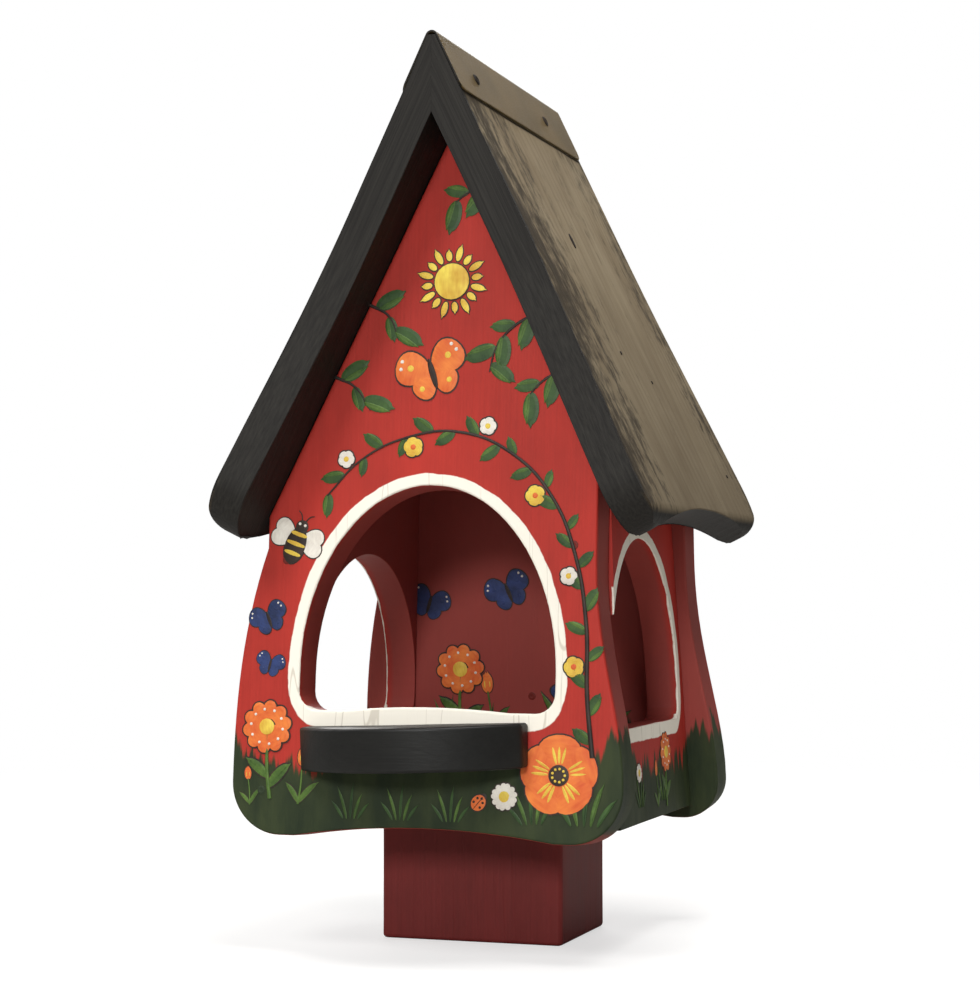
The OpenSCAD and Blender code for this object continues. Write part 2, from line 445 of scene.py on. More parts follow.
class Grain:
    """Fibres and growth rings of softwood, drawn along a board's own length."""

    def __init__(self, recipe: Recipe, ring_mm: float = 7.0) -> None:
        """Adds the pattern to a recipe.

        Args:
            recipe: The recipe.
            ring_mm: Distance between growth rings on the face, in millimetres.
        """
        add = recipe.add
        self.along = add(ATTRIBUTE, out="Vector", attribute_name="wood")
        # Real fibres are too fine to show, so they are drawn about a millimetre wide.
        at = add(MAPPING, {"Vector": self.along, "Scale": (950, 950, 16)})
        self.fibre = add(NOISE, {"Vector": at, "Scale": 1, "Detail": 4, "Roughness": 0.6})
        at = add(MAPPING, {"Vector": self.along, "Scale": (26, 26, 12)})
        self.patch = add(NOISE, {"Vector": at, "Scale": 1, "Detail": 5, "Roughness": 0.62})
        # The rings crowd and open across the board, and lean through its thickness.
        at = add(MAPPING, {"Vector": self.along, "Scale": (15, 15, 2.2)})
        sway = add(NOISE, {"Vector": at, "Scale": 1, "Detail": 1})
        at = add(MAPPING, {"Vector": self.along, "Scale": (110, 110, 8)})
        ripple = add(NOISE, {"Vector": at, "Scale": 1, "Detail": 3})
        across = add(SPLIT, {0: self.along})
        through = add(SPLIT, {0: self.along}, out=1)
        count = add(MATH, {0: through, 1: 0.45, 2: across}, operation="MULTIPLY_ADD")
        count = add(MATH, {0: count, 1: 1000 / ring_mm, 2: 40}, operation="MULTIPLY_ADD")
        count = add(MATH, {0: sway, 1: 7, 2: count}, operation="MULTIPLY_ADD")
        count = add(MATH, {0: ripple, 1: 0.7, 2: count}, operation="MULTIPLY_ADD")
        ring = add(MATH, {0: count}, operation="FRACT")
        # Each ring darkens slowly into its late wood, and ends sharply.
        slow = add(RANGE, {0: ring, 1: 0.35, 2: 0.9}, interpolation_type="SMOOTHSTEP")
        sharp = add(RANGE, {0: ring, 1: 1.0, 2: 0.9})
        late = add(MATH, {0: slow, 1: sharp}, operation="MULTIPLY")
        share = add(RANGE, {0: ripple, 1: 0.34, 2: 0.6, 3: 0.25, 4: 1})
        self.late = add(MATH, {0: late, 1: share}, operation="MULTIPLY")


@dataclass(frozen=True)
class HousePaint:
    """Brushed matt acrylic on planed softwood: red, with a green foot and white lines.

    The brush leaves it in soft streaks that let the grain show faintly, and its colour
    drifts a little over a hand's breadth.
    """

    name: str = "brushed_red_acrylic"
    red: str = "#B6362D"
    red_deep: str = "#9F2F27"
    # Colour of the inner faces, a painted shade: darker and browner than the outer red.
    inside: str = "#8C4640"
    green: str = "#363F27"
    green_deep: str = "#263020"
    white: str = "#F4EEE0"
    white_worn: str = "#B9AE9C"
    line_mm: float = 5.6

    def build(self) -> bpy.types.Material:
        """Builds the material.

        Returns:
            The material.
        """
        r = Recipe(bpy.data.materials.new(self.name))
        grain = Grain(r)
        mm = {name: r.add(ATTRIBUTE, out="Fac", attribute_name=name)
              for name in ("outline", "into", "depth", "grass")}
        wobble = r.add(NOISE, {"Vector": grain.along, "Scale": 90, "Detail": 3})
        drift = r.add(MATH, {0: grain.fibre, 1: 0.35, 2: grain.patch}, operation="MULTIPLY_ADD")
        tone = r.add(RANGE, {0: drift, 1: 0.5, 2: 0.85})
        red = r.add(MIX, {0: tone, 6: linear(self.red_deep), 7: linear(self.red)}, out=2,
                    data_type="RGBA")
        # Painted shade: the inner faces are mixed towards a darker, browner red that stands in for
        # the shade inside the house.
        inner = r.add(RANGE, {0: mm["depth"], 1: 0.8, 2: 4.5, 3: 0, 4: 0.75})
        red = r.add(MIX, {0: inner, 6: red, 7: linear(self.inside)}, out=2, data_type="RGBA")
        # The grass: upright strokes whose tips end at different heights.
        at = r.add(MAPPING, {"Vector": grain.along, "Scale": (260, 260, 14)})
        blade = r.add(NOISE, {"Vector": at, "Scale": 1, "Detail": 2.5, "Roughness": 0.5})
        tip = r.add(RANGE, {0: blade, 1: 0.28, 2: 0.72, 3: -9, 4: 9})
        over = r.add(MATH, {0: mm["grass"], 1: tip}, operation="SUBTRACT")
        in_grass = r.add(RANGE, {0: over, 1: 2.6, 2: -2.6}, interpolation_type="SMOOTHSTEP")
        facing = r.add("ShaderNodeNewGeometry", out="Normal")
        down = r.add(SPLIT, {0: facing}, out=2)
        not_under = r.add(RANGE, {0: down, 1: -0.9, 2: -0.7})
        in_grass = r.add(MATH, {0: in_grass, 1: not_under}, operation="MULTIPLY")
        at = r.add(MAPPING, {"Vector": grain.along, "Scale": (90, 90, 30)})
        cloud = r.add(NOISE, {"Vector": at, "Scale": 1, "Detail": 4})
        blend = r.add(RANGE, {0: cloud, 1: 0.36, 2: 0.64})
        green = r.add(MIX, {0: blend, 6: linear(self.green_deep), 7: linear(self.green)}, out=2,
                      data_type="RGBA")
        colour = r.add(MIX, {0: in_grass, 6: red, 7: green}, out=2, data_type="RGBA")
        # The white line: as wide as a brush, following the edge of the opening.
        edge = r.add(RANGE, {0: wobble, 1: 0.3, 2: 0.7, 3: self.line_mm - 0.4,
                             4: self.line_mm + 0.4})
        past = r.add(MATH, {0: mm["outline"], 1: edge}, operation="SUBTRACT")
        near = r.add(RANGE, {0: past, 1: 0.2, 2: -0.2})
        rim = r.add(RANGE, {0: wobble, 1: 0.35, 2: 0.65, 3: 0.5, 4: 1.1})
        deep = r.add(MATH, {0: mm["into"], 1: rim}, operation="SUBTRACT")
        shallow = r.add(RANGE, {0: deep, 1: 0.15, 2: -0.15})
        in_line = r.add(MATH, {0: near, 1: shallow}, operation="MULTIPLY")
        # Here and there a hair crack follows the fibres.
        at = r.add(MAPPING, {"Vector": grain.along, "Scale": (85, 85, 9)})
        crack = r.add(NOISE, {"Vector": at, "Scale": 1, "Detail": 1})
        crack = r.add(MATH, {0: crack, 1: 0.42}, operation="SUBTRACT")
        crack = r.add(MATH, {0: crack}, operation="ABSOLUTE")
        upright = r.add(RANGE, {0: down, 1: 0.3, 2: 0.6, 3: 0.5, 4: 0})
        crack = r.add(RANGE, {0: crack, 1: 0.003, 2: 0.009, 3: upright, 4: 0})
        worn = r.add(RANGE, {0: grain.fibre, 1: 0.64, 2: 0.8})
        worn = r.add(MATH, {0: worn, 1: crack}, operation="MAXIMUM")
        white = r.add(MIX, {0: worn, 6: linear(self.white), 7: linear(self.white_worn)}, out=2,
                      data_type="RGBA")
        colour = r.add(MIX, {0: in_line, 6: colour, 7: white}, out=2, data_type="RGBA")
        # Height: fibres under the paint, and the thickness of the strokes on top.
        height = r.add(MATH, {0: in_line, 1: 1.4, 2: grain.fibre}, operation="MULTIPLY_ADD")
        height = r.add(MATH, {0: in_grass, 1: blade, 2: height}, operation="MULTIPLY_ADD")
        height = r.add(MATH, {0: grain.late, 1: -0.35, 2: height}, operation="MULTIPLY_ADD")
        normal = r.add(BUMP, {"Height": height, "Distance": 0.1 * MM, "Strength": 0.6})
        rough = r.add(RANGE, {0: grain.patch, 1: 0.2, 2: 0.8, 3: 0.5, 4: 0.64})
        return r.surface(Base_Color=colour, Roughness=rough, Normal=normal,
                         Specular_IOR_Level=0.16)


@dataclass(frozen=True)
class RoofStain:
    """Weathered pine under an old dark stain, near black on ends, edges and undersides.

    Rain has bleached the open face to a grey brown with raised grain, and the stain is
    left in flecked dark patches along the ends of the boards, most of it at the front.
    """

    name: str = "weathered_stained_pine"
    bleached: str = "#93856C"
    brown: str = "#7A6B54"
    late: str = "#5C4F3B"
    # Colour of the stain's dark patches, and of the painted shadow under the ridge strip.
    patch: str = "#2F281F"
    stain: str = "#1E1C1A"
    stain_worn: str = "#302E2A"

    def build(self) -> bpy.types.Material:
        """Builds the material.

        Returns:
            The material.
        """
        r = Recipe(bpy.data.materials.new(self.name))
        grain = Grain(r, ring_mm=8.5)
        mm = {name: r.add(ATTRIBUTE, out="Fac", attribute_name=name)
              for name in ("end", "run", "depth")}
        drift = r.add(MATH, {0: grain.fibre, 1: 0.5, 2: grain.patch}, operation="MULTIPLY_ADD")
        tone = r.add(RANGE, {0: drift, 1: 0.58, 2: 0.95})
        wood = r.add(MIX, {0: tone, 6: linear(self.brown), 7: linear(self.bleached)}, out=2,
                     data_type="RGBA")
        late = r.add(MATH, {0: grain.late, 1: 0.26}, operation="MULTIPLY")
        wood = r.add(MIX, {0: late, 6: wood, 7: linear(self.late)}, out=2, data_type="RGBA")
        # Old stain: blotches that thin out from the ends inwards.
        at = r.add(MAPPING, {"Vector": grain.along, "Scale": (58, 58, 17)})
        blotch = r.add(NOISE, {"Vector": at, "Scale": 1, "Detail": 5, "Roughness": 0.6,
                               "Distortion": 0.5})
        at = r.add(MAPPING, {"Vector": grain.along, "Scale": (240, 240, 120)})
        fleck = r.add(NOISE, {"Vector": at, "Scale": 1, "Detail": 4, "Roughness": 0.65})
        blotch = r.add(MATH, {0: fleck, 1: 0.9, 2: blotch}, operation="MULTIPLY_ADD")
        near = r.add(RANGE, {0: mm["end"], 1: 3, 2: 82, 3: -0.1, 4: -1.5})
        left = r.add(MATH, {0: blotch, 1: 3.2, 2: near}, operation="MULTIPLY_ADD")
        left = r.add(RANGE, {0: left, 1: 1.7, 2: 3.0, 3: 0, 4: 0.9},
                     interpolation_type="SMOOTHSTEP")
        # The face is also darker towards the eave.
        low = r.add(RANGE, {0: mm["run"], 1: 90, 2: HOUSE.roof_run, 3: 0, 4: 0.42})
        left = r.add(MATH, {0: left, 1: low}, operation="MAXIMUM")
        # Painted shadow: a thin dark line on the board along the lower edges of the ridge strip.
        gap = r.add(MATH, {0: mm["run"], 1: HOUSE.cap_edge + 0.5}, operation="SUBTRACT")
        gap = r.add(MATH, {0: gap}, operation="ABSOLUTE")
        shadow_under_strip = r.add(RANGE, {0: gap, 1: 0.3, 2: 0.9, 3: 0.85, 4: 0})
        left = r.add(MATH, {0: left, 1: shadow_under_strip}, operation="MAXIMUM")
        face = r.add(MIX, {0: left, 6: wood, 7: linear(self.patch)}, out=2, data_type="RGBA")
        # Ends, edges and undersides keep the stain.
        edge = r.add(RANGE, {0: grain.fibre, 1: 0.35, 2: 0.85})
        stain = r.add(MIX, {0: edge, 6: linear(self.stain), 7: linear(self.stain_worn)}, out=2,
                      data_type="RGBA")
        turn = r.add(RANGE, {0: mm["depth"], 1: 0.3, 2: 1.6})
        wrap = r.add(MATH, {0: blotch, 1: -9, 2: mm["end"]}, operation="MULTIPLY_ADD")
        wrap = r.add(RANGE, {0: wrap, 1: -6.5, 2: -3.5, 3: 1, 4: 0})
        turn = r.add(MATH, {0: turn, 1: wrap}, operation="MAXIMUM")
        colour = r.add(MIX, {0: turn, 6: face, 7: stain}, out=2, data_type="RGBA")
        height = r.add(MATH, {0: grain.late, 1: 0.5, 2: grain.fibre}, operation="MULTIPLY_ADD")
        normal = r.add(BUMP, {"Height": height, "Distance": 0.2 * MM, "Strength": 0.7})
        rough = r.add(RANGE, {0: turn, 1: 0, 2: 1, 3: 0.8, 4: 0.62})
        return r.surface(Base_Color=colour, Roughness=rough, Normal=normal,
                         Specular_IOR_Level=0.16)


@dataclass(frozen=True)
class PlainWood:
    """One coat over softwood, with fibres, growth rings and a drift of colour."""

    name: str
    light: str
    deep: str
    roughness: float
    relief_mm: float = 0.12
    coat: float = 0.0
    specular: float = 0.2

    def build(self) -> bpy.types.Material:
        """Builds the material.

        Returns:
            The material.
        """
        r = Recipe(bpy.data.materials.new(self.name))
        grain = Grain(r)
        mixed = r.add(MATH, {0: grain.fibre, 1: 0.35, 2: grain.patch}, operation="MULTIPLY_ADD")
        tone = r.add(RANGE, {0: mixed, 1: 0.48, 2: 0.88})
        colour = r.add(MIX, {0: tone, 6: linear(self.deep), 7: linear(self.light)}, out=2,
                       data_type="RGBA")
        height = r.add(MATH, {0: grain.late, 1: -0.6, 2: grain.fibre}, operation="MULTIPLY_ADD")
        normal = r.add(BUMP, {"Height": height, "Distance": self.relief_mm * MM, "Strength": 0.7})
        rough = r.add(RANGE, {0: grain.patch, 1: 0.2, 2: 0.8, 3: self.roughness - 0.05,
                              4: self.roughness + 0.08})
        return r.surface(Base_Color=colour, Roughness=rough, Normal=normal, Coat_Roughness=0.25,
                         Specular_IOR_Level=self.specular, Coat_Weight=self.coat)


@dataclass(frozen=True)
class Speckled:
    """A fine even skin, as of rubber sheet or old steel, with a slow drift of tone."""

    name: str
    light: str
    deep: str
    roughness: float
    metallic: float = 0.0
    grit_mm: float = 0.6
    relief_mm: float = 0.06

    def build(self) -> bpy.types.Material:
        """Builds the material.

        Returns:
            The material.
        """
        r = Recipe(bpy.data.materials.new(self.name))
        at = r.add(COORDS, out="Object")
        drift = r.add(NOISE, {"Vector": at, "Scale": 30, "Detail": 4})
        grit = r.add(NOISE, {"Vector": at, "Scale": 1 / (self.grit_mm * MM), "Detail": 2})
        tone = r.add(RANGE, {0: drift, 1: 0.35, 2: 0.68})
        colour = r.add(MIX, {0: tone, 6: linear(self.deep), 7: linear(self.light)}, out=2,
                       data_type="RGBA")
        normal = r.add(BUMP, {"Height": grit, "Distance": self.relief_mm * MM, "Strength": 0.6})
        rough = r.add(RANGE, {0: grit, 1: 0.3, 2: 0.7, 3: self.roughness - 0.05,
                              4: self.roughness + 0.05})
        return r.surface(Base_Color=colour, Roughness=rough, Normal=normal,
                         Metallic=self.metallic, Specular_IOR_Level=0.25)


@dataclass(frozen=True)
class ArtistPaint:
    """Artist's acrylic, laid thick with a round brush: streaked from root to tip."""

    name: str
    light: str
    deep: str

    def build(self) -> bpy.types.Material:
        """Builds the material.

        Returns:
            The material.
        """
        r = Recipe(bpy.data.materials.new(self.name))
        along = r.add(COORDS, out="UV")
        streak = r.add(MAPPING, {"Vector": along, "Scale": (9, 1.6, 1)})
        streak = r.add(NOISE, {"Vector": streak, "Scale": 1, "Detail": 3, "Roughness": 0.6})
        at = r.add(COORDS, out="Object")
        drift = r.add(NOISE, {"Vector": at, "Scale": 110, "Detail": 2})
        mixed = r.add(MATH, {0: streak, 1: 0.6, 2: drift}, operation="MULTIPLY_ADD")
        tone = r.add(RANGE, {0: mixed, 1: 0.55, 2: 1.05})
        colour = r.add(MIX, {0: tone, 6: linear(self.deep), 7: linear(self.light)}, out=2,
                       data_type="RGBA")
        normal = r.add(BUMP, {"Height": streak, "Distance": 0.12 * MM, "Strength": 0.6})
        return r.surface(Base_Color=colour, Roughness=0.48, Normal=normal,
                         Specular_IOR_Level=0.3)


class Paint(Enum):
    """The artist's colours."""

    ORANGE = ArtistPaint("orange_acrylic", "#E8823A", "#CE5428")
    YELLOW = ArtistPaint("yellow_acrylic", "#F0D858", "#CC9A34")
    WHITE = ArtistPaint("white_acrylic", "#F3EEE2", "#CFC6BA")
    NAVY = ArtistPaint("navy_acrylic", "#34457A", "#1D2848")
    BROWN = ArtistPaint("umber_acrylic", "#3E3028", "#231B18")
    LEAF = ArtistPaint("leaf_green_acrylic", "#5C7A34", "#35501F")
    MOSS = ArtistPaint("moss_green_acrylic", "#3E5C2A", "#263E1E")

    def material(self) -> bpy.types.Material:
        """Returns the colour's material, built at its first use."""
        found = bpy.data.materials.get(self.value.name)
        return found or self.value.build()


# ---- Boards --------------------------------------------------------------------------


@dataclass
class Board:
    """A board: a copy of its solid part with eased arrises, cut into a fine net.

    Attributes:
        node: The solid part's name.
        slot: Its material slot.
        material: Its finish.
        face: Its main face, which its coordinates are measured on.
        arris: Radius worn on its edges, in millimetres.
        pitch: Size of the net.
        uneven: How far the surface may sink.
        marks: Rules that give the values its finish reads.
        ends: The finish of its end grain, where that differs.
        joint_x: Where it is mitred to its pair; the surface stays true there.
    """

    node: str
    slot: str
    material: bpy.types.Material
    face: Face
    arris: float = 1.2
    pitch: float = 9.0
    uneven: float = 0.35
    marks: dict[str, Rule] = field(default_factory=dict)
    ends: bpy.types.Material | None = None
    joint_x: float | None = None

    HOLLOWS_PER_M: ClassVar[float] = 28
    TRUE_AT_GROUND: ClassVar[float] = 3
    TRUE_AT_JOINT: ClassVar[float] = 12

    def build(self) -> bpy.types.Object:
        """Builds the board and hands it in.

        Returns:
            The board.
        """
        obj = copy_of(frame["nodes"][self.node])
        obj.parent = None
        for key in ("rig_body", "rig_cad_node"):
            if key in obj:
                del obj[key]
        obj.name = obj.data.name = f"{self.node}_board"
        select_only(obj)
        bpy.ops.object.mode_set(mode="EDIT")
        bpy.ops.mesh.select_all(action="SELECT")
        bpy.ops.mesh.remove_doubles(threshold=0.01 * MM)
        bpy.ops.mesh.dissolve_limited(angle_limit=math.radians(0.4))
        bpy.ops.object.mode_set(mode="OBJECT")
        apply_modifier(obj, "BEVEL", width=self.arris * MM, segments=3, limit_method="ANGLE",
                       angle_limit=math.radians(35))
        self.cut_net(obj)
        self.mark(obj)
        self.roughen(obj)
        obj.data.materials.clear()
        obj.data.materials.append(self.material)
        if self.ends:
            obj.data.materials.append(self.ends)
            for face in obj.data.polygons:
                face.material_index = int(abs(face.normal.dot(self.face.right)) > 0.7)
        select_only(obj)
        bpy.ops.object.shade_smooth_by_angle(angle=math.radians(38))
        apply_modifier(obj, "WEIGHTED_NORMAL", keep_sharp=True)
        return hand_in(obj, self.slot, self.node)

    def cut_net(self, obj: bpy.types.Object) -> None:
        """Cuts the board every few millimetres along and across its face.

        Args:
            obj: The board so far.
        """
        points = [self.face.measure(v.co) for v in obj.data.vertices]
        select_only(obj)
        bpy.ops.object.mode_set(mode="EDIT")
        for axis, along in ((0, self.face.right), (1, self.face.up)):
            low = min(p[axis] for p in points)
            high = max(p[axis] for p in points)
            count = max(2, round((high - low) / self.pitch))
            for i in range(1, count):
                at = self.face.origin + along * (low + (high - low) * i / count) * MM
                bpy.ops.mesh.select_all(action="SELECT")
                bpy.ops.mesh.bisect(plane_co=at, plane_no=along)
        bpy.ops.object.mode_set(mode="OBJECT")

    def roughen(self, obj: bpy.types.Object) -> None:
        """Lets the surface sink here and there, as hand sanding leaves it.

        It stays true near the ground and near a mitre.

        Args:
            obj: The board so far.
        """
        moved = []
        for v in obj.data.vertices:
            sink = 0.5 + 0.5 * noise.noise(v.co * self.HOLLOWS_PER_M
                                           + Vector((3.1, 0, len(self.node))))
            sink *= min(1.0, v.co.z / MM / self.TRUE_AT_GROUND)
            if self.joint_x is not None:
                sink *= min(1.0, abs(v.co.x / MM - self.joint_x) / self.TRUE_AT_JOINT)
            moved.append(v.co - v.normal * sink * self.uneven * MM)
        for v, co in zip(obj.data.vertices, moved):
            v.co = co

    def mark(self, obj: bpy.types.Object) -> None:
        """Stores the board's own coordinates, and its marks in millimetres.

        Args:
            obj: The board so far.
        """
        points = [self.face.measure(v.co) for v in obj.data.vertices]
        wood = obj.data.attributes.new("wood", "FLOAT_VECTOR", "POINT")
        seed = 0.37 * (sum(map(ord, self.node)) % 29)
        wood.data.foreach_set("vector", [c for u, v, d in points
                                         for c in (u * MM + seed, d * MM, v * MM + seed)])
        for name, rule in self.marks.items():
            layer = obj.data.attributes.new(name, "FLOAT", "POINT")
            layer.data.foreach_set("value", [rule(*p) for p in points])


# ---- Painted motifs ------------------------------------------------------------------


class Brush:
    """Single touches of a brush, drawn flat round the origin in millimetres."""

    LINE_MM = 0.62

    @staticmethod
    def blob(length: float, width: float, thick: float, paint: Paint, point: float = 0.0,
             taper: float = 0.0, bend: float = 0.0, grow: float = 0.0) -> bpy.types.Object:
        """Makes one crowned touch of paint that runs from the origin along +X.

        Args:
            length: Its length.
            width: Its width.
            thick: Its thickness at the middle.
            paint: Its colour.
            point: How far its tip is drawn out to a point, as a share of its length.
            taper: How much wider (+) or narrower (-) it is at the tip than at the root.
            bend: Degrees that it bends to the left along its length.
            grow: Extra size all round.

        Returns:
            The touch as an object.
        """
        bpy.ops.object.select_all(action="DESELECT")
        bpy.ops.mesh.primitive_circle_add(vertices=22, radius=0.5 * MM, fill_type="NGON",
                                          calc_uvs=True)
        obj = bpy.context.object
        bpy.ops.object.mode_set(mode="EDIT")
        bpy.ops.transform.resize(value=(length + 2 * grow, width + 2 * grow, 1))
        bpy.ops.transform.translate(value=(length / 2 * MM, 0, 0))
        bpy.ops.object.mode_set(mode="OBJECT")
        if point:
            tip = max(obj.data.vertices, key=lambda v: v.co.x)
            tip.co.x += point * length * MM
        bpy.ops.object.mode_set(mode="EDIT")
        bpy.ops.mesh.select_all(action="SELECT")
        bpy.ops.mesh.extrude_region_move(
            TRANSFORM_OT_translate={"value": (0, 0, 0.6 * thick * MM)})
        bpy.ops.mesh.inset(thickness=0.2 * width * MM, depth=0.4 * thick * MM)
        bpy.ops.mesh.select_all(action="SELECT")
        bpy.ops.mesh.normals_make_consistent(inside=False)
        bpy.ops.object.mode_set(mode="OBJECT")
        if taper:
            apply_modifier(obj, "SIMPLE_DEFORM", deform_method="TAPER", deform_axis="X",
                           factor=taper)
        if bend:
            apply_modifier(obj, "SIMPLE_DEFORM", deform_method="BEND", deform_axis="Z",
                           angle=math.radians(bend))
        obj.data.materials.append(paint.material())
        return obj

    @classmethod
    def dab(cls, length: float, width: float, paint: Paint, turn: float = 90.0,
            at: tuple[float, float] = (0, 0), lined: bool = True, thick: float = 0.3,
            **shape: float) -> list[bpy.types.Object]:
        """Makes a touch of paint with a thin dark line round it.

        Args:
            length: Its length.
            width: Its width.
            paint: Its colour.
            turn: Degrees from +X to its own direction.
            at: Where its root is.
            lined: Whether it has the dark line.
            thick: Its thickness.
            shape: Its point, taper and bend, as blob takes them.

        Returns:
            The touch, under it the line.
        """
        parts = []
        if lined:
            parts.append(cls.blob(length, width, 0.1, Paint.BROWN, grow=cls.LINE_MM, **shape))
        parts.append(cls.blob(length, width, thick, paint, **shape))
        spin = Matrix.Rotation(math.radians(turn), 4, "Z")
        for obj in parts:
            settle(obj, Matrix.Translation((at[0] * MM, at[1] * MM, 0)) @ spin)
        return parts

    @classmethod
    def dot(cls, radius: float, paint: Paint, at: tuple[float, float] = (0, 0),
            lined: bool = False, thick: float = 0.35) -> list[bpy.types.Object]:
        """Makes a round dot centred on a point, with or without a dark line."""
        return cls.dab(2 * radius, 2 * radius, paint, turn=0, at=(at[0] - radius, at[1]),
                       lined=lined, thick=thick)

    @staticmethod
    def line(points: Sequence[tuple[float, float]], width: float, paint: Paint,
             tip: float = 0.35) -> list[bpy.types.Object]:
        """Makes a drawn line through points, thinning towards its end.

        Args:
            points: The points, in millimetres.
            width: Width of the line at its start.
            paint: Its colour.
            tip: Share of the width that is left at its end.

        Returns:
            The line, as a list of one object.
        """
        curve = bpy.data.curves.new("line", "CURVE")
        curve.dimensions = "3D"
        curve.bevel_depth = width / 2 * MM
        curve.bevel_resolution = 2
        curve.resolution_u = 8
        curve.use_fill_caps = True
        spline = curve.splines.new("BEZIER")
        spline.bezier_points.add(len(points) - 1)
        for i, (point, (x, y)) in enumerate(zip(spline.bezier_points, points)):
            point.co = (x * MM, y * MM, 0)
            point.handle_left_type = point.handle_right_type = "AUTO"
            point.radius = 1 + (tip - 1) * i / (len(points) - 1)
        obj = bpy.data.objects.new("line", curve)
        bpy.context.scene.collection.objects.link(obj)
        select_only(obj)
        bpy.ops.object.convert(target="MESH")
        obj = bpy.context.object
        bpy.ops.object.mode_set(mode="EDIT")
        bpy.ops.mesh.select_all(action="SELECT")
        bpy.ops.mesh.bisect(plane_co=(0, 0, 0), plane_no=(0, 0, 1), clear_inner=True,
                            use_fill=True)
        bpy.ops.mesh.select_all(action="SELECT")
        bpy.ops.transform.resize(value=(1, 1, 0.45))
        bpy.ops.object.mode_set(mode="OBJECT")
        obj.data.materials.append(paint.material())
        return [obj]


def bunch(parts: Iterable[list[bpy.types.Object]], name: str) -> bpy.types.Object:
    """Joins touches of paint into one motif, each a hair above the one before.

    Args:
        parts: The touches, from the first laid to the last.
        name: The motif's name.

    Returns:
        The motif.
    """
    objects = []
    for i, group in enumerate(parts):
        for obj in group:
            obj.data.transform(Matrix.Translation((0, 0, 0.015 * MM * i)))
            objects.append(obj)
    return join(objects, name)


class Motif(Enum):
    """The common garden motifs that the painter repeats."""

    DAISY = "daisy"
    TULIP = "tulip"
    POPPY = "poppy"
    BELLS = "bluebells"
    BUTTERFLY = "butterfly"
    NIGHT_BUTTERFLY = "navy_butterfly"
    LADYBIRD = "ladybird"
    BLOSSOM = "blossom"
    BUTTERCUP = "buttercup"
    MARIGOLD = "marigold"
    BEE = "bumblebee"
    SUN = "sun"
    TUFT = "grass_tuft"
    LEAF = "leaf"


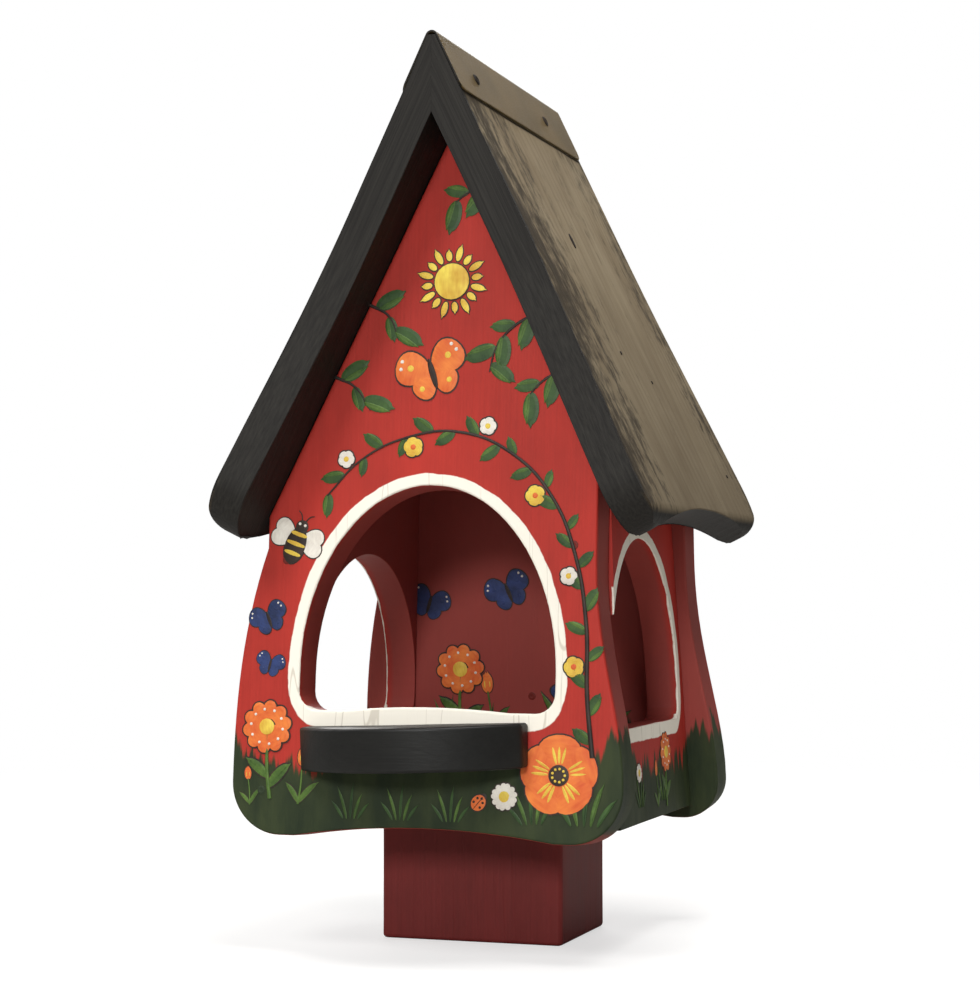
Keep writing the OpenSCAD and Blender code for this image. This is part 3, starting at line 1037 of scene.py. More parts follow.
class Painter:
    """Draws each motif once, and copies it on to the faces of the house."""

    def __init__(self) -> None:
        """Starts with nothing drawn."""
        self.drawn: dict[Motif, bpy.types.Object] = {}
        self.rules: dict[Motif, Callable[[], Strokes]] = {
            Motif.DAISY: lambda: self.flower(13, 7.2, 2.9, Paint.WHITE, 2.9, Paint.YELLOW),
            Motif.BLOSSOM: lambda: self.flower(5, 4.0, 3.2, Paint.WHITE, 1.3, Paint.YELLOW),
            Motif.BUTTERCUP: lambda: self.flower(5, 4.6, 3.8, Paint.YELLOW, 1.3, Paint.ORANGE),
            Motif.TULIP: self.tulip, Motif.POPPY: self.poppy, Motif.BELLS: self.bells,
            Motif.MARIGOLD: self.marigold, Motif.BEE: self.bee,
            Motif.BUTTERFLY: lambda: self.butterfly(Paint.ORANGE, Paint.YELLOW),
            Motif.NIGHT_BUTTERFLY: lambda: self.butterfly(Paint.NAVY, Paint.NAVY),
            Motif.LADYBIRD: self.ladybird, Motif.SUN: self.sun, Motif.TUFT: self.tuft,
            Motif.LEAF: self.leaf,
        }

    def paint(self, motif: Motif, face: Face, u: float, v: float, turn: float = 0.0,
              size: float = 1.0) -> bpy.types.Object:
        """Paints a motif on a face.

        Args:
            motif: Which motif.
            face: The face.
            u: Millimetres to the right on the face.
            v: Millimetres up.
            turn: Degrees anticlockwise.
            size: Scale.

        Returns:
            The painted motif.
        """
        if motif not in self.drawn:
            self.drawn[motif] = bunch(self.rules[motif](), motif.value)
        return settle(copy_of(self.drawn[motif]), face.place(u, v, turn, size))

    def clear_up(self) -> None:
        """Removes the drawings that the copies were made from."""
        for obj in self.drawn.values():
            bpy.data.objects.remove(obj)

    @staticmethod
    def flower(count: int, length: float, width: float, petal: Paint, heart: float,
               middle: Paint) -> Strokes:
        """Draws an open flower: a ring of petals round a heart.

        Args:
            count: How many petals.
            length: Their length.
            width: Their width.
            petal: Their colour.
            heart: Radius of the heart.
            middle: The heart's colour.

        Returns:
            Its touches.
        """
        parts = [Brush.dab(length, width, petal, turn=360 * i / count + 3 * (i % 3), taper=0.5)
                 for i in range(count)]
        return parts + [Brush.dot(heart, middle, lined=True, thick=0.5)]

    @staticmethod
    def tulip() -> Strokes:
        """Draws a tulip 44 mm tall, from its foot.

        Returns:
            Its touches.
        """
        return [Brush.line([(0, 0), (0.8, 14), (0, 30)], 1.7, Paint.LEAF, tip=0.7),
                Brush.dab(21, 4.6, Paint.LEAF, turn=62, at=(0.3, 1), point=0.12, bend=-24),
                Brush.dab(17, 4.2, Paint.LEAF, turn=118, at=(0, 1), point=0.12, bend=26),
                Brush.dab(12.5, 6.4, Paint.ORANGE, turn=90, at=(0, 29.5), point=0.12),
                Brush.dab(13.5, 5.2, Paint.ORANGE, turn=105, at=(-0.6, 29), point=0.14, bend=-30),
                Brush.dab(13.5, 5.2, Paint.ORANGE, turn=75, at=(0.6, 29), point=0.14, bend=30),
                Brush.dab(6, 1.2, Paint.YELLOW, turn=100, at=(-1.6, 32), lined=False, bend=-20),
                Brush.dab(5, 1.0, Paint.YELLOW, turn=80, at=(1.8, 32.5), lined=False, bend=20)]

    @staticmethod
    def marigold() -> Strokes:
        """Draws a marigold 42 mm tall, from its foot.

        Returns:
            Its touches.
        """
        parts = [Brush.line([(0, 0), (-0.8, 12), (0, 28)], 1.7, Paint.LEAF, tip=0.75),
                 Brush.dab(13, 4.4, Paint.LEAF, turn=52, at=(-0.4, 5), point=0.12, bend=-20),
                 Brush.dab(12, 4.2, Paint.LEAF, turn=128, at=(-0.6, 9), point=0.12, bend=22)]
        for i in range(10):
            parts.append(Brush.dab(11.2, 5.0, Paint.ORANGE, turn=36 * i + 6, at=(0, 30.5),
                                   taper=0.5))
        for i in range(10):
            turn = math.radians(36 * i + 24)
            parts.append(Brush.dot(0.6, Paint.WHITE, thick=0.5,
                                   at=(7.4 * math.cos(turn), 30.5 + 7.4 * math.sin(turn))))
        return parts + [Brush.dot(3.4, Paint.YELLOW, at=(0, 30.5), lined=True, thick=0.6)]

    @staticmethod
    def bee() -> Strokes:
        """Draws a bumblebee 26 mm long, head up, with its wings spread.

        Returns:
            Its touches.
        """
        parts = [Brush.dab(15, 7.4, Paint.WHITE, turn=turn, at=(side * 2.5, 1.5), taper=0.7)
                 for side, turn in ((1, 28), (-1, 152), (1, -14), (-1, 194))]
        parts.append(Brush.dot(4.1, Paint.BROWN, at=(0, 9.5), thick=0.5))
        parts.append(Brush.dab(23, 13.5, Paint.BROWN, turn=90, at=(0, -14), thick=0.6))
        for v, half in ((4.6, 5.6), (-1.4, 6.4), (-7.4, 5.6)):
            parts.append(Brush.dab(2 * half, 2.9, Paint.YELLOW, turn=0, at=(-half, v),
                                   lined=False, thick=0.8))
        for side in (1, -1):
            parts.append(Brush.line([(side * 1.2, 13), (side * 3, 16.5), (side * 5.5, 18)], 0.8,
                                    Paint.BROWN, tip=0.8))
            parts.append(Brush.dot(0.9, Paint.WHITE, at=(side * 1.8, 10.8), thick=0.8))
        return parts

    @staticmethod
    def poppy() -> Strokes:
        """Draws a wide open poppy 34 mm across.

        Returns:
            Its touches.
        """
        parts = [Brush.dab(16, 15, Paint.ORANGE, turn=72 * i + 18, taper=0.35) for i in range(5)]
        parts += [Brush.dab(7, 1.3, Paint.YELLOW, turn=72 * i + 18 + s, lined=False,
                            at=(4.5 * math.cos(math.radians(72 * i + 18 + s)),
                                4.5 * math.sin(math.radians(72 * i + 18 + s))))
                  for i in range(5) for s in (-14, 0, 14)]
        parts.append(Brush.dot(4.2, Paint.BROWN, thick=0.5))
        parts += [Brush.dot(0.55, Paint.YELLOW, at=(2.6 * math.cos(a), 2.6 * math.sin(a)),
                            thick=0.7) for a in (i * math.tau / 9 for i in range(9))]
        return parts

    @staticmethod
    def bells() -> Strokes:
        """Draws an arching stem 38 mm tall with hanging bells.

        Returns:
            Its touches.
        """
        parts = [Brush.line([(0, 0), (0.5, 18), (3, 30), (10, 34)], 1.3, Paint.LEAF),
                 Brush.dab(22, 2.8, Paint.LEAF, turn=104, at=(0, 0), point=0.1, bend=24)]
        for x, y, turn in ((10.4, 33.8, -72), (3.2, 29.6, -58), (1.2, 25.0, -128),
                           (0.7, 19.5, -52), (0.4, 14.5, -130)):
            parts.append(Brush.dab(7.6, 4.6, Paint.NAVY, turn=turn, at=(x, y), taper=1.1))
        return parts

    @staticmethod
    def butterfly(wing: Paint, tip: Paint) -> Strokes:
        """Draws a butterfly 30 mm across, seen from above.

        Args:
            wing: Colour of its wings.
            tip: Colour of their spots.

        Returns:
            Its touches.
        """
        parts = []
        for side in (1, -1):
            turn = 90 - side * 90
            parts += [Brush.dab(10, 7.5, wing, turn=turn - side * 38, at=(side * 0.6, -1),
                                taper=0.6),
                      Brush.dab(15.5, 9.5, wing, turn=turn + side * 30, at=(side * 0.6, 0.5),
                                taper=0.8),
                      Brush.dot(1.5, tip, at=(side * 8.4, 5.2), thick=0.6),
                      Brush.dot(0.8, Paint.WHITE, at=(side * 11.0, 9.0), thick=0.7),
                      Brush.dot(0.8, Paint.WHITE, at=(side * 12.4, 6.2), thick=0.7),
                      Brush.dot(1.1, tip, at=(side * 6.0, -4.6), thick=0.6)]
            parts.append(Brush.line([(side * 0.4, 5), (side * 2.4, 9), (side * 5, 11.5)], 0.7,
                                    Paint.BROWN, tip=0.8))
        return parts + [Brush.dab(13, 2.6, Paint.BROWN, turn=90, at=(0, -6.5), lined=False,
                                  thick=0.55)]

    @staticmethod
    def ladybird() -> Strokes:
        """Draws a ladybird 11 mm long, head up.

        Returns:
            Its touches.
        """
        return [Brush.dot(2.3, Paint.BROWN, at=(0, 4.4)),
                Brush.dab(10, 8.6, Paint.ORANGE, turn=90, at=(0, -5), thick=0.6),
                Brush.dab(9.4, 0.6, Paint.BROWN, turn=90, at=(0, -4.8), lined=False, thick=0.72),
                *(Brush.dot(0.85, Paint.BROWN, at=spot, thick=0.75)
                  for spot in ((2.1, 1.8), (-2.1, 1.8), (2.5, -1.4), (-2.5, -1.4), (0, 3.2)))]

    @staticmethod
    def sun() -> Strokes:
        """Draws a sun 36 mm across with long and short rays.

        Returns:
            Its touches.
        """
        rays = [Brush.dab(7.5 if i % 2 else 5.2, 3.2, Paint.YELLOW, turn=22.5 * i + 8, point=0.18,
                          at=(10.6 * math.cos(math.radians(22.5 * i + 8)),
                              10.6 * math.sin(math.radians(22.5 * i + 8)))) for i in range(16)]
        return rays + [Brush.dot(9.2, Paint.YELLOW, lined=True, thick=0.6)]

    @staticmethod
    def tuft() -> Strokes:
        """Draws a tuft of grass blades up to 16 mm tall.

        Returns:
            Its touches.
        """
        return [Brush.dab(length, 1.5, paint, turn=turn, at=(x, 0), lined=False, point=0.15,
                          bend=bend, thick=0.2)
                for x, length, turn, bend, paint in (
                    (-4, 10, 116, 22, Paint.MOSS), (-2, 15, 102, 14, Paint.LEAF),
                    (0, 16, 90, -8, Paint.MOSS), (2, 12, 82, -18, Paint.LEAF),
                    (4, 9, 66, -22, Paint.MOSS))]

    @staticmethod
    def leaf() -> Strokes:
        """Draws a leaf 11 mm long with a lighter half.

        Returns:
            Its touches.
        """
        return [Brush.dab(10, 5.2, Paint.MOSS, turn=90, point=0.12, bend=10, lined=False),
                Brush.dab(8.6, 1.9, Paint.LEAF, turn=84, at=(0.8, 0.6), point=0.1, bend=14,
                          lined=False, thick=0.36)]


@dataclass
class Vine:
    """A leafy stem on a face, through given points, with leaves and blossoms along it.

    Attributes:
        face: The face.
        points: The points that the stem runs through, in millimetres.
        blossoms: Share of the stem's length, kind and distance of each blossom.
        step: Distance from leaf to leaf.
        bare: Length at the start without a leaf.
        width: Width of the stem at its start.
        leaf: Size of the leaves.
    """

    face: Face
    points: Sequence[tuple[float, float]]
    blossoms: Sequence[tuple[float, Motif, float]] = ()
    step: float = 11.0
    bare: float = 6.0
    width: float = 2.0
    leaf: float = 1.0

    def build(self, painter: Painter, name: str) -> bpy.types.Object:
        """Builds the stem with all that grows on it.

        Args:
            painter: Who paints the leaves and blossoms.
            name: The piece's name.

        Returns:
            The vine.
        """
        stem = settle(Brush.line(self.points, self.width, Paint.BROWN)[0], self.face.place(0, 0))
        parts = [stem]
        path = self.walk()
        total = path[-1][0]
        reach, side = self.bare, 1
        while reach < total:
            u, v, heading = self.at(path, reach)
            size = self.leaf * (0.75 + 0.35 * abs(math.sin(reach * 1.7)))
            parts.append(painter.paint(Motif.LEAF, self.face, u, v,
                                       heading - 90 + side * (48 + 14 * math.sin(reach)), size))
            reach, side = reach + self.step * (0.8 + 0.3 * abs(math.cos(reach))), -side
        for share, motif, away in self.blossoms:
            u, v, heading = self.at(path, share * total)
            turn = math.radians(heading + 90)
            parts.append(painter.paint(motif, self.face, u + away * math.cos(turn),
                                       v + away * math.sin(turn), 217 * share))
        return join(parts, name)

    def walk(self) -> list[tuple[float, float, float]]:
        """Follows the stem from point to point in short steps.

        Returns:
            The distance so far, u and v of each step.
        """
        path, total = [], 0.0
        count = len(self.points)
        for i in range(count - 1):
            a = self.points[max(i - 1, 0)]
            b, c = self.points[i], self.points[i + 1]
            d = self.points[min(i + 2, count - 1)]
            for k in range(10):
                t = k / 10
                place = [0.5 * (2 * q + (r - p) * t + (2 * p - 5 * q + 4 * r - s) * t * t
                                + (3 * q - p - 3 * r + s) * t ** 3)
                         for p, q, r, s in zip(a, b, c, d)]
                if path:
                    total += math.dist(place, path[-1][1:])
                path.append((total, *place))
        return path

    @staticmethod
    def at(path: list[tuple[float, float, float]], reach: float) -> tuple[float, float, float]:
        """Finds a place on the stem.

        Args:
            path: The stem's steps.
            reach: Distance along it.

        Returns:
            u, v and the heading in degrees.
        """
        i = next((k for k, step in enumerate(path) if step[0] >= reach), len(path) - 1)
        i = max(i, 1)
        (_, u0, v0), (_, u1, v1) = path[i - 1], path[i]
        return u1, v1, math.degrees(math.atan2(v1 - v0, u1 - u0))


# ---- Sub-assemblies ------------------------------------------------------------------


@dataclass(frozen=True)
class WhiteLine:
    """The brushed white line round an opening.

    Attributes:
        width: Its width beside the opening, as a share of the brush's.
        under: What share of the distance counts under the sill.
        jamb: How far it runs into the opening, as a share of its least.
        sill: The same over the sill.
    """

    width: float
    under: float
    jamb: float
    sill: float

    SILL_EASE: ClassVar[float] = 2.6

    def marks(self, opening: Opening) -> dict[str, Rule]:
        """Gives the marks of a wall with this line round its opening.

        Args:
            opening: The opening.

        Returns:
            The rules of the marks.
        """
        sill_end = opening.sill + self.SILL_EASE
        return {"outline": lambda u, v, d: opening.outside(u, v, self.under) / self.width,
                "into": lambda u, v, d: d / (self.sill if v < sill_end else self.jamb),
                "depth": lambda u, v, d: d}


@dataclass
class Walls:
    """The four painted walls and the floor board.

    Attributes:
        paint: The walls' finish.
        net: Size of the net on a wall with a white line.
        uneven: How far the planed faces sink.
        side_arris: Radius worn on the side walls' edges.
        floor_arris: The same on the floor board's.
        floor_top: Height of the floor board.
        gable_half: Half the width that a gable plank's grass line is drawn over.
        side_half: The same on a side wall.
        lift_half: Half the width over which the front's grass is lifted, behind the ledge.
        lift: How far it is lifted in the middle.
        door_line: The line round the front opening.
        window_line: The line round a side opening.
    """

    paint: bpy.types.Material
    net: float = 4.5
    uneven: float = 0.2
    side_arris: float = 0.5
    floor_arris: float = 0.8
    floor_top: float = 92
    gable_half: float = 92
    side_half: float = 62
    lift_half: float = 62
    lift: float = 13
    door_line: WhiteLine = WhiteLine(width=1.0, under=0.72, jamb=1.0, sill=8.0)
    window_line: WhiteLine = WhiteLine(width=0.9, under=0.75, jamb=1.1, sill=2.2)

    @staticmethod
    def grass(half: float, middle: float, slant: float, rise: float) -> Rule:
        """Gives a rule for the height above a grass line that climbs at a wall's edges."""
        return lambda u, v, d: v - middle - slant * u / half - rise * min(abs(u) / half, 1.1) ** 6

    def front_grass(self, u: float, v: float, d: float) -> float:
        """Gives the height above the front's grass line, which the ledge partly hides."""
        behind_ledge = self.lift * max(0.0, 1 - (u / self.lift_half) ** 2)
        return self.grass(self.gable_half, 83, 5, 18)(u, v, d) - behind_ledge

    @staticmethod
    def bare() -> dict[str, Rule]:
        """Gives the marks for a wall with no opening."""
        return {"outline": lambda u, v, d: 90.0, "into": lambda u, v, d: d,
                "depth": lambda u, v, d: d}

    def build(self) -> None:
        """Builds the walls and the floor."""
        Board("front_wall", "wall_paint", self.paint, FRONT, pitch=self.net, uneven=self.uneven,
              marks={**self.door_line.marks(HOUSE.door), "grass": self.front_grass}).build()
        Board("back_wall", "wall_paint", self.paint, BACK, uneven=self.uneven,
              marks={**self.bare(), "grass": self.grass(self.gable_half, 96, 0, 6)}).build()
        for side, node, window in ((1, "right_wall", HOUSE.right_window),
                                   (-1, "left_wall", HOUSE.left_window)):
            Board(node, "wall_paint", self.paint, HOUSE.flank(side), arris=self.side_arris,
                  pitch=self.net, uneven=self.uneven,
                  marks={**self.window_line.marks(window),
                         "grass": self.grass(self.side_half, 86, -side * 5, 5)}).build()
        floor = PlainWood("dull_red_acrylic", "#86302A", "#672420", 0.6).build()
        Board("floor_board", "floor_paint", floor,
              Face(Vector((0, 0, self.floor_top * MM)), Vector((1, 0, 0)), Vector((0, 1, 0))),
              arris=self.floor_arris).build()


@dataclass
class Roof:
    """The two roof boards and the strip nailed over their ridge.

    Attributes:
        arris: Radius worn on the boards' edges.
        net: Size of the boards' net.
        uneven: How far the weathered faces sink.
        strip_arris: Radius on the strip's edges.
        strip_uneven: How far the strip sinks.
        back_away: How much further off the back end counts for the stain.
    """

    arris: float = 1.5
    net: float = 7.0
    uneven: float = 0.6
    strip_arris: float = 0.4
    strip_uneven: float = 0.15
    back_away: float = 32

    def marks(self, side: int) -> dict[str, Rule]:
        """Gives the marks of a roof board: distance from its ends, and down its slope.

        Args:
            side: -1 for the left board and +1 for the right one.

        Returns:
            The rules of the marks.
        """
        return {"end": lambda u, v, d: (HOUSE.roof_half(-v)
                                        + min(side * u, self.back_away - side * u)),
                "run": lambda u, v, d: -v,
                "depth": lambda u, v, d: d}

    def build(self) -> None:
        """Builds the roof."""
        stain = RoofStain().build()
        for side, node in ((1, "roof_right"), (-1, "roof_left")):
            Board(node, "roof_stain", stain, HOUSE.slope(side), arris=self.arris, pitch=self.net,
                  uneven=self.uneven, marks=self.marks(side), joint_x=HOUSE.middle[0]).build()
        strip = Speckled("brown_rubber_strip", "#675534", "#58492C", 0.55).build()
        Board("ridge_cap", "cap_strip", strip,
              Face(Vector((0, 0, 0.4)), Vector((0, 1, 0)), Vector((0, 0, 1))),
              arris=self.strip_arris, uneven=self.strip_uneven, ends=stain).build()


@dataclass
class Nails:
    """Round nail heads that lie on the boards, and the dents they sit in.

    Attributes:
        rust: Finish of the bare heads.
        red: Finish of the heads under red paint.
        green: Finish of the heads under green paint.
        strip_spots: Millimetres along and down the slope of the ridge strip's nails.
        strip_radius: Radius of their heads.
        slot: Place of the long dent in a roof board.
        specks: Places of the small heads in a roof board.
        wall_radius: Radius of the heads in the walls.
    """

    rust: bpy.types.Material
    red: bpy.types.Material
    green: bpy.types.Material
    strip_spots: tuple[tuple[float, float], ...] = ((-58.8, 20), (48.7, 18))
    strip_radius: float = 2.7
    slot: tuple[float, float] = (-13.4, 95.6)
    specks: tuple[tuple[float, float], ...] = ((-23, 156), (13, 168), (83, 214.5))
    wall_radius: float = 2.0

    @staticmethod
    def head(finish: bpy.types.Material, face: Face, u: float, v: float, radius: float,
             out: float, stand: float, long: float = 1.0) -> bpy.types.Object:
        """Makes one nail head: a low dome with a dimple.

        Args:
            finish: Its material.
            face: The face it lies on.
            u: Millimetres to the right on the face.
            v: Millimetres up.
            radius: Its radius.
            out: How far its rim lies outside the face.
            stand: How far its dome stands over its rim.
            long: Its length up the face, as a share of its width.

        Returns:
            The nail head.
        """
        shank = 0.5
        bpy.ops.object.select_all(action="DESELECT")
        bpy.ops.mesh.primitive_circle_add(vertices=20, radius=radius * MM, fill_type="NGON")
        obj = bpy.context.object
        bpy.ops.object.mode_set(mode="EDIT")
        bpy.ops.mesh.extrude_region_move(TRANSFORM_OT_translate={"value": (0, 0, shank * MM)})
        for share, rise in ((0.16, 0.6), (0.26, 0.4), (0.3, -0.5)):
            bpy.ops.mesh.inset(thickness=share * radius * MM, depth=rise * stand * MM)
        bpy.ops.mesh.select_all(action="SELECT")
        bpy.ops.mesh.normals_make_consistent(inside=False)
        bpy.ops.transform.resize(value=(1, long, 1))
        bpy.ops.transform.translate(value=(0, 0, (out - shank) * MM))
        bpy.ops.object.mode_set(mode="OBJECT")
        obj.data.materials.append(finish)
        return settle(obj, face.place(u, v))

    def build(self) -> None:
        """Lays the nail heads of the roof and of the walls."""
        heads = []
        for side in (1, -1):
            slope = HOUSE.slope(side)
            for along, down in self.strip_spots:
                heads.append(self.head(self.rust, slope, side * along, -down,
                                       self.strip_radius, 1.15, 0.6))
            along, down = self.slot
            heads.append(self.head(self.rust, slope, side * along, -down, 1.5, 0.08, 0.12, 2.6))
            for along, down in self.specks:
                heads.append(self.head(self.rust, slope, side * along, -down, 0.9, 0.08, 0.1))
        hand_in(join(heads, "roof_nails"), "roof_stain")
        spots = [(self.red, FRONT, 68.5, 185.6), (self.green, FRONT, 72.9, 75.8),
                 (self.red, FRONT, -69.2, 179.5), (self.green, FRONT, -78.5, 73.8)]
        spots += [(self.red, BACK_INSIDE, *spot) for spot in ((-67, 125), (-2, 113.4))]
        spots += [(self.red, BACK, *spot)
                  for spot in ((68, 184), (-68, 181), (72, 112), (-72, 115))]
        heads = [self.head(*spot, self.wall_radius, 0.02, 0.22) for spot in spots]
        hand_in(join(heads, "wall_nails"), "wall_paint")


@dataclass
class LedgeAndPost:
    """The feeding ledge under the front opening, and the post stub.

    Attributes:
        ledge_level: Height that the ledge's grain is measured from, just under its top.
        ledge_arris: Radius worn on the ledge's edges.
        ledge_net: Size of its net.
        post_front: How far in front of the origin the post's front face is.
        post_arris: Radius worn on the post's edges.
        post_net: Size of its net.
        uneven: How far both sink.
    """

    ledge_level: float = 105
    ledge_arris: float = 1.6
    ledge_net: float = 7.0
    post_front: float = 36
    post_arris: float = 2.0
    post_net: float = 8.0
    uneven: float = 0.3

    def build(self) -> None:
        """Builds both."""
        black = PlainWood("black_wood_lacquer", "#20201E", "#151514", 0.48, coat=0.06).build()
        Board("feeding_ledge", "ledge_stain", black,
              Face(Vector((0, 0, self.ledge_level * MM)), Vector((0, 1, 0)), Vector((1, 0, 0))),
              arris=self.ledge_arris, pitch=self.ledge_net, uneven=self.uneven).build()
        red = PlainWood("maroon_post_paint", "#7C2D2B", "#682523", 0.55).build()
        Board("post_stub", "post_paint", red,
              Face(Vector((0, -self.post_front * MM, 0)), Vector((1, 0, 0)), Vector((0, 0, 1))),
              arris=self.post_arris, pitch=self.post_net, uneven=self.uneven).build()


@dataclass
class GardenPainting:
    """The painted flowers, leaves and insects on the walls.

    Attributes:
        painter: Who paints them.
        arch: The points of the vine over the front opening.
        blossoms: Share of the vine's length, kind and distance of each of its blossoms.
        sprays: The points of each spray in the gable, from the roof inwards.
    """

    painter: Painter = field(default_factory=Painter)
    arch: tuple[tuple[float, float], ...] = (
        (79, 92), (76, 120), (75, 150), (69, 182), (58, 207), (40, 226), (14, 237), (-12, 235),
        (-34, 225), (-50, 209))
    blossoms: tuple[tuple[float, Motif, float], ...] = (
        (0.16, Motif.BUTTERCUP, 6), (0.33, Motif.BLOSSOM, 5), (0.5, Motif.BUTTERCUP, 6),
        (0.66, Motif.BLOSSOM, -6), (0.8, Motif.BUTTERCUP, 5), (0.93, Motif.BLOSSOM, -5))
    sprays: tuple[tuple[tuple[float, float], ...], ...] = (
        ((62, 264), (52, 259), (44, 250)),
        ((50, 290), (39, 285), (30, 275), (27, 264)),
        ((-48, 264), (-38, 259), (-30, 248)),
        ((-32, 297), (-22, 291), (-17, 280)),
        ((27, 348), (16, 347), (7, 341)))

    def group(self, name: str, face: Face, *touches: tuple) -> None:
        """Paints motifs on one face and hands them in as one piece.

        Args:
            name: The piece's name.
            face: The face.
            touches: Motif, u, v, turn and size of each.
        """
        parts = [self.painter.paint(motif, face, u, v, turn, size)
                 for motif, u, v, turn, size in touches]
        hand_in(join(parts, name), "wall_paint")

    def build(self) -> None:
        """Paints all the faces."""
        self.vines()
        self.front()
        self.inside()
        self.sides()
        self.painter.clear_up()

    def vines(self) -> None:
        """Paints the vine over the front opening, and the sprays above it."""
        arch = Vine(FRONT, self.arch, width=2.2, blossoms=self.blossoms)
        hand_in(arch.build(self.painter, "front_vine"), "wall_paint")
        sprays = [Vine(FRONT, points, width=1.6, step=7.5, leaf=1.35, bare=3)
                  for points in self.sprays]
        parts = [spray.build(self.painter, f"spray_{i}") for i, spray in enumerate(sprays)]
        hand_in(join(parts, "front_gable_sprays"), "wall_paint")

    def front(self) -> None:
        """Paints the rest of the front."""
        self.group("front_gable_sun", FRONT, (Motif.SUN, 8, 306, 0, 0.9))
        self.group("front_butterflies", FRONT, (Motif.BUTTERFLY, 0, 264, 18, 1.12),
                   (Motif.NIGHT_BUTTERFLY, -77, 152, 22, 0.62),
                   (Motif.NIGHT_BUTTERFLY, -76, 131, -14, 0.48))
        self.group("front_bee", FRONT, (Motif.BEE, -64.5, 188, -20, 0.76))
        self.group("front_flowers", FRONT, (Motif.MARIGOLD, -74, 70, 4, 1.08),
                   (Motif.TULIP, -60, 68, -5, 0.6), (Motif.TULIP, -84, 67, 5, 0.4))
        self.group("front_poppy", FRONT, (Motif.TUFT, 76, 62, 0, 1.5), (Motif.TUFT, 52, 62, 6, 1.1),
                   (Motif.POPPY, 64, 84, 0, 1.12), (Motif.DAISY, 39, 74, 12, 0.85))
        self.group("front_ladybirds", FRONT, (Motif.LADYBIRD, 27, 71, -40, 0.75))
        self.group("front_tufts", FRONT, *((Motif.TUFT, u, 62, 0, 0.9) for u in (-34, -10, 14)))

    def inside(self) -> None:
        """Paints the back wall's inner face."""
        self.group("inside_flowers", BACK_INSIDE, (Motif.TUFT, -46, 92, 0, 1.2),
                   (Motif.MARIGOLD, -40, 92, 0, 1.14), (Motif.TULIP, -24, 94, 4, 0.72),
                   (Motif.BELLS, 14, 92, 0, 1.1), (Motif.TULIP, 34, 90, -3, 0.95),
                   (Motif.TUFT, -24, 92, 0, 1.0), (Motif.TUFT, 24, 92, 0, 1.2),
                   (Motif.NIGHT_BUTTERFLY, -56, 160, -18, 0.72),
                   (Motif.NIGHT_BUTTERFLY, -13, 166, 22, 0.8),
                   (Motif.NIGHT_BUTTERFLY, 22, 152, -12, 0.6))

    def sides(self) -> None:
        """Paints the side walls, the left one as the right one's mirror image."""
        for side, name in ((1, "right"), (-1, "left")):
            self.group(f"{name}_flowers", HOUSE.flank(side), (Motif.TUFT, side * 12, 66, 0, 1.0),
                       (Motif.MARIGOLD, side * 18, 63, -3 * side, 0.84),
                       (Motif.TULIP, side * 2, 64, 4 * side, 0.5),
                       (Motif.TUFT, side * -28, 66, 0, 0.9), (Motif.DAISY, side * -30, 82, 20, 0.6))


@dataclass(frozen=True)
class Lamp:
    """A soft square lamp that shines on the middle of the house, in metres and watts."""

    name: str
    at: tuple[float, float, float]
    size: float
    power: float

    AIM: ClassVar[tuple[float, float, float]] = (0, 0, 0.2)

    def hang(self) -> None:
        """Hangs the lamp."""
        light = bpy.data.lights.new(f"{self.name}_lamp", "AREA")
        light.shape = "SQUARE"
        light.size = self.size
        light.energy = self.power
        lamp = bpy.data.objects.new(f"{self.name}_lamp", light)
        bpy.context.scene.collection.objects.link(lamp)
        lamp.location = self.at
        aim = Vector(self.AIM) - Vector(self.at)
        lamp.rotation_euler = aim.to_track_quat("-Z", "Y").to_euler()


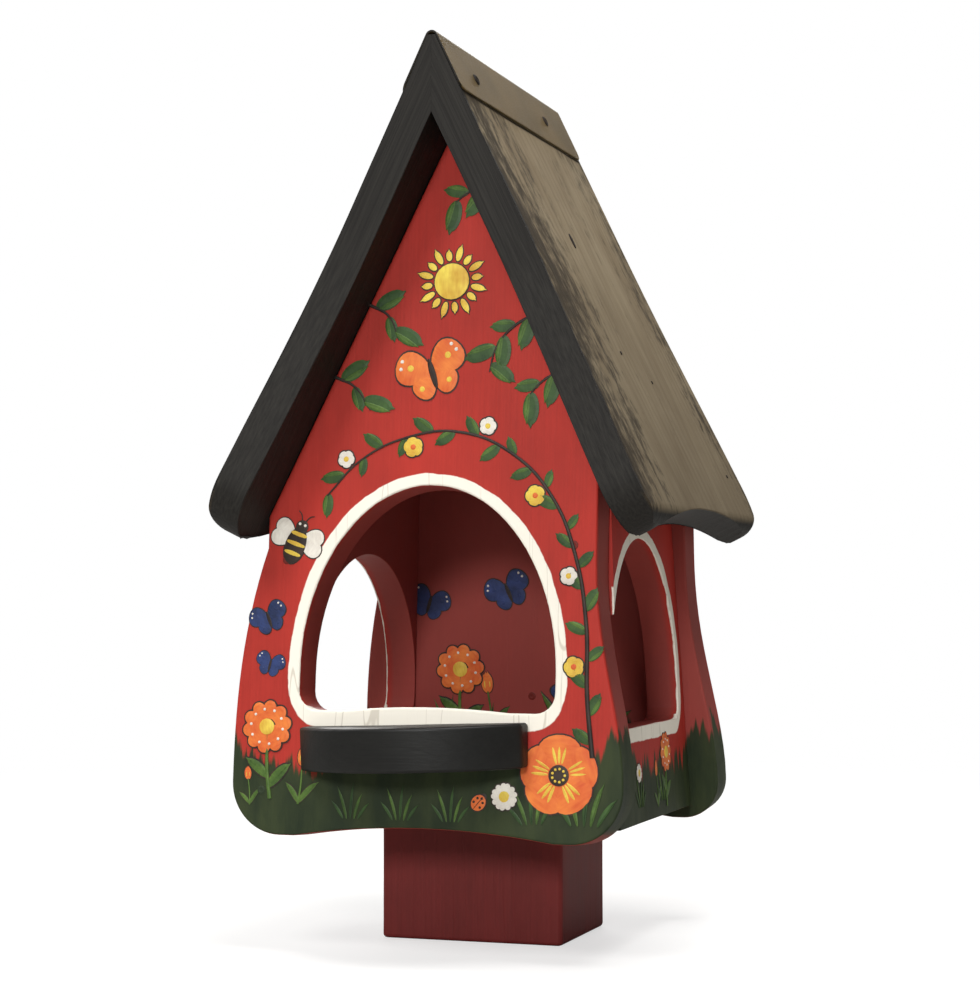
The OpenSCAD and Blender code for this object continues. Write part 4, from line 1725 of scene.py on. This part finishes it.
@dataclass
class Studio:
    """A pale floor and backdrop, soft lamps, and the camera.

    The floor throws back only part of the light, so that undersides stay dark.

    Attributes:
        pale: Colour of the floor as it is seen.
        unlit: Colour of the floor as it lights the house.
        floor_radius: Radius of the floor, in metres.
        air: Strength of the light from all round.
        lamps: The lamps.
        camera_at: Place of the camera, in metres.
        camera_turn: Degrees that it looks to the left of straight ahead.
        lens: Focal length, in millimetres, behind a 36 mm frame.
        raised: How far the frame is raised, as a share of its height.
    """

    pale: str = "#F6F5F2"
    unlit: str = "#A8A6A2"
    floor_radius: float = 30
    air: float = 0.19
    lamps: tuple[Lamp, ...] = (Lamp("key", (0.17, -2.35, 0.88), 0.4, 26),
                               Lamp("front", (-0.42, -1.75, 2.1), 0.7, 26),
                               Lamp("high", (0.5, -0.3, 2.6), 1.0, 58),
                               Lamp("side", (-1.9, 0.3, 1.4), 1.2, 14),
                               Lamp("rear", (-0.7, 2.2, 1.3), 1.2, 34))
    camera_at: tuple[float, float, float] = (0.358, -1.0607, 0.1659)
    camera_turn: float = 18.77
    lens: float = 84.53945
    raised: float = 0.101529

    def build(self) -> None:
        """Builds the studio."""
        self.lay_floor()
        self.light_room()
        for lamp in self.lamps:
            lamp.hang()
        self.set_camera()
        bpy.context.scene.view_settings.view_transform = "Standard"

    def lay_floor(self) -> None:
        """Lays a wide floor that fades into the white of the air round it."""
        bpy.ops.object.select_all(action="DESELECT")
        bpy.ops.mesh.primitive_circle_add(vertices=96, radius=self.floor_radius,
                                          fill_type="NGON")
        floor = bpy.context.object
        floor.name = "pale_floor"
        r = Recipe(bpy.data.materials.new("pale_card"))
        card, dim = (r.add("ShaderNodeBsdfPrincipled", {"Base Color": linear(colour),
                                                        "Roughness": 0.9})
                     for colour in (self.pale, self.unlit))
        glow = r.add("ShaderNodeEmission", {"Color": (1, 1, 1, 1), "Strength": 1.0})
        seen = r.add("ShaderNodeLightPath", out="Is Camera Ray")
        at = r.add(COORDS, out="Object")
        far = r.add("ShaderNodeVectorMath", {0: at}, out="Value", operation="LENGTH")
        share = r.add(RANGE, {0: far, 1: 0.25, 2: 1.1, 3: 0.6, 4: 1.0},
                      interpolation_type="SMOOTHSTEP")
        lit = r.add("ShaderNodeMixShader", {0: share, 1: card, 2: glow})
        mixed = r.add("ShaderNodeMixShader", {0: seen, 1: dim, 2: lit})
        r.add("ShaderNodeOutputMaterial", {"Surface": mixed})
        floor.data.materials.append(r.owner)

    def light_room(self) -> None:
        """Fills the room with a little light, and leaves it white to look at."""
        r = Recipe(bpy.data.worlds.new("studio_air"))
        bpy.context.scene.world = r.owner
        fill = r.add("ShaderNodeBackground", {"Color": (1, 0.985, 0.965, 1), "Strength": self.air})
        white = r.add("ShaderNodeBackground", {"Color": (1, 1, 1, 1)})
        direct = r.add("ShaderNodeLightPath", out="Is Camera Ray")
        through = r.add("ShaderNodeLightPath", out="Is Transmission Ray")
        seen = r.add(MATH, {0: direct, 1: through}, operation="MAXIMUM")
        mixed = r.add("ShaderNodeMixShader", {0: seen, 1: fill, 2: white})
        r.add("ShaderNodeOutputWorld", {"Surface": mixed})

    def set_camera(self) -> None:
        """Sets the camera to the right of the front, at the height of the openings."""
        data = bpy.data.cameras.new("camera")
        data.sensor_width = 36
        data.lens = self.lens
        data.shift_y = self.raised
        camera = bpy.data.objects.new("camera", data)
        bpy.context.scene.collection.objects.link(camera)
        camera.location = self.camera_at
        camera.rotation_euler = Euler((math.radians(90), 0, math.radians(self.camera_turn)))
        bpy.context.scene.camera = camera


def main() -> None:
    """Builds the feeder and its studio."""
    logging.basicConfig(level=logging.INFO, format="%(name)s %(message)s")
    Studio().build()
    Walls(HousePaint().build()).build()
    Roof().build()
    Nails(Speckled("rusted_nail_steel", "#2C241F", "#171310", 0.7).build(),
          PlainWood("red_acrylic_over_nails", "#7E2A22", "#5E211C", 0.55).build(),
          PlainWood("green_acrylic_over_nails", "#34402A", "#222C1D", 0.55).build()).build()
    LedgeAndPost().build()
    GardenPainting().build()


if __name__ == "__main__":
    main()
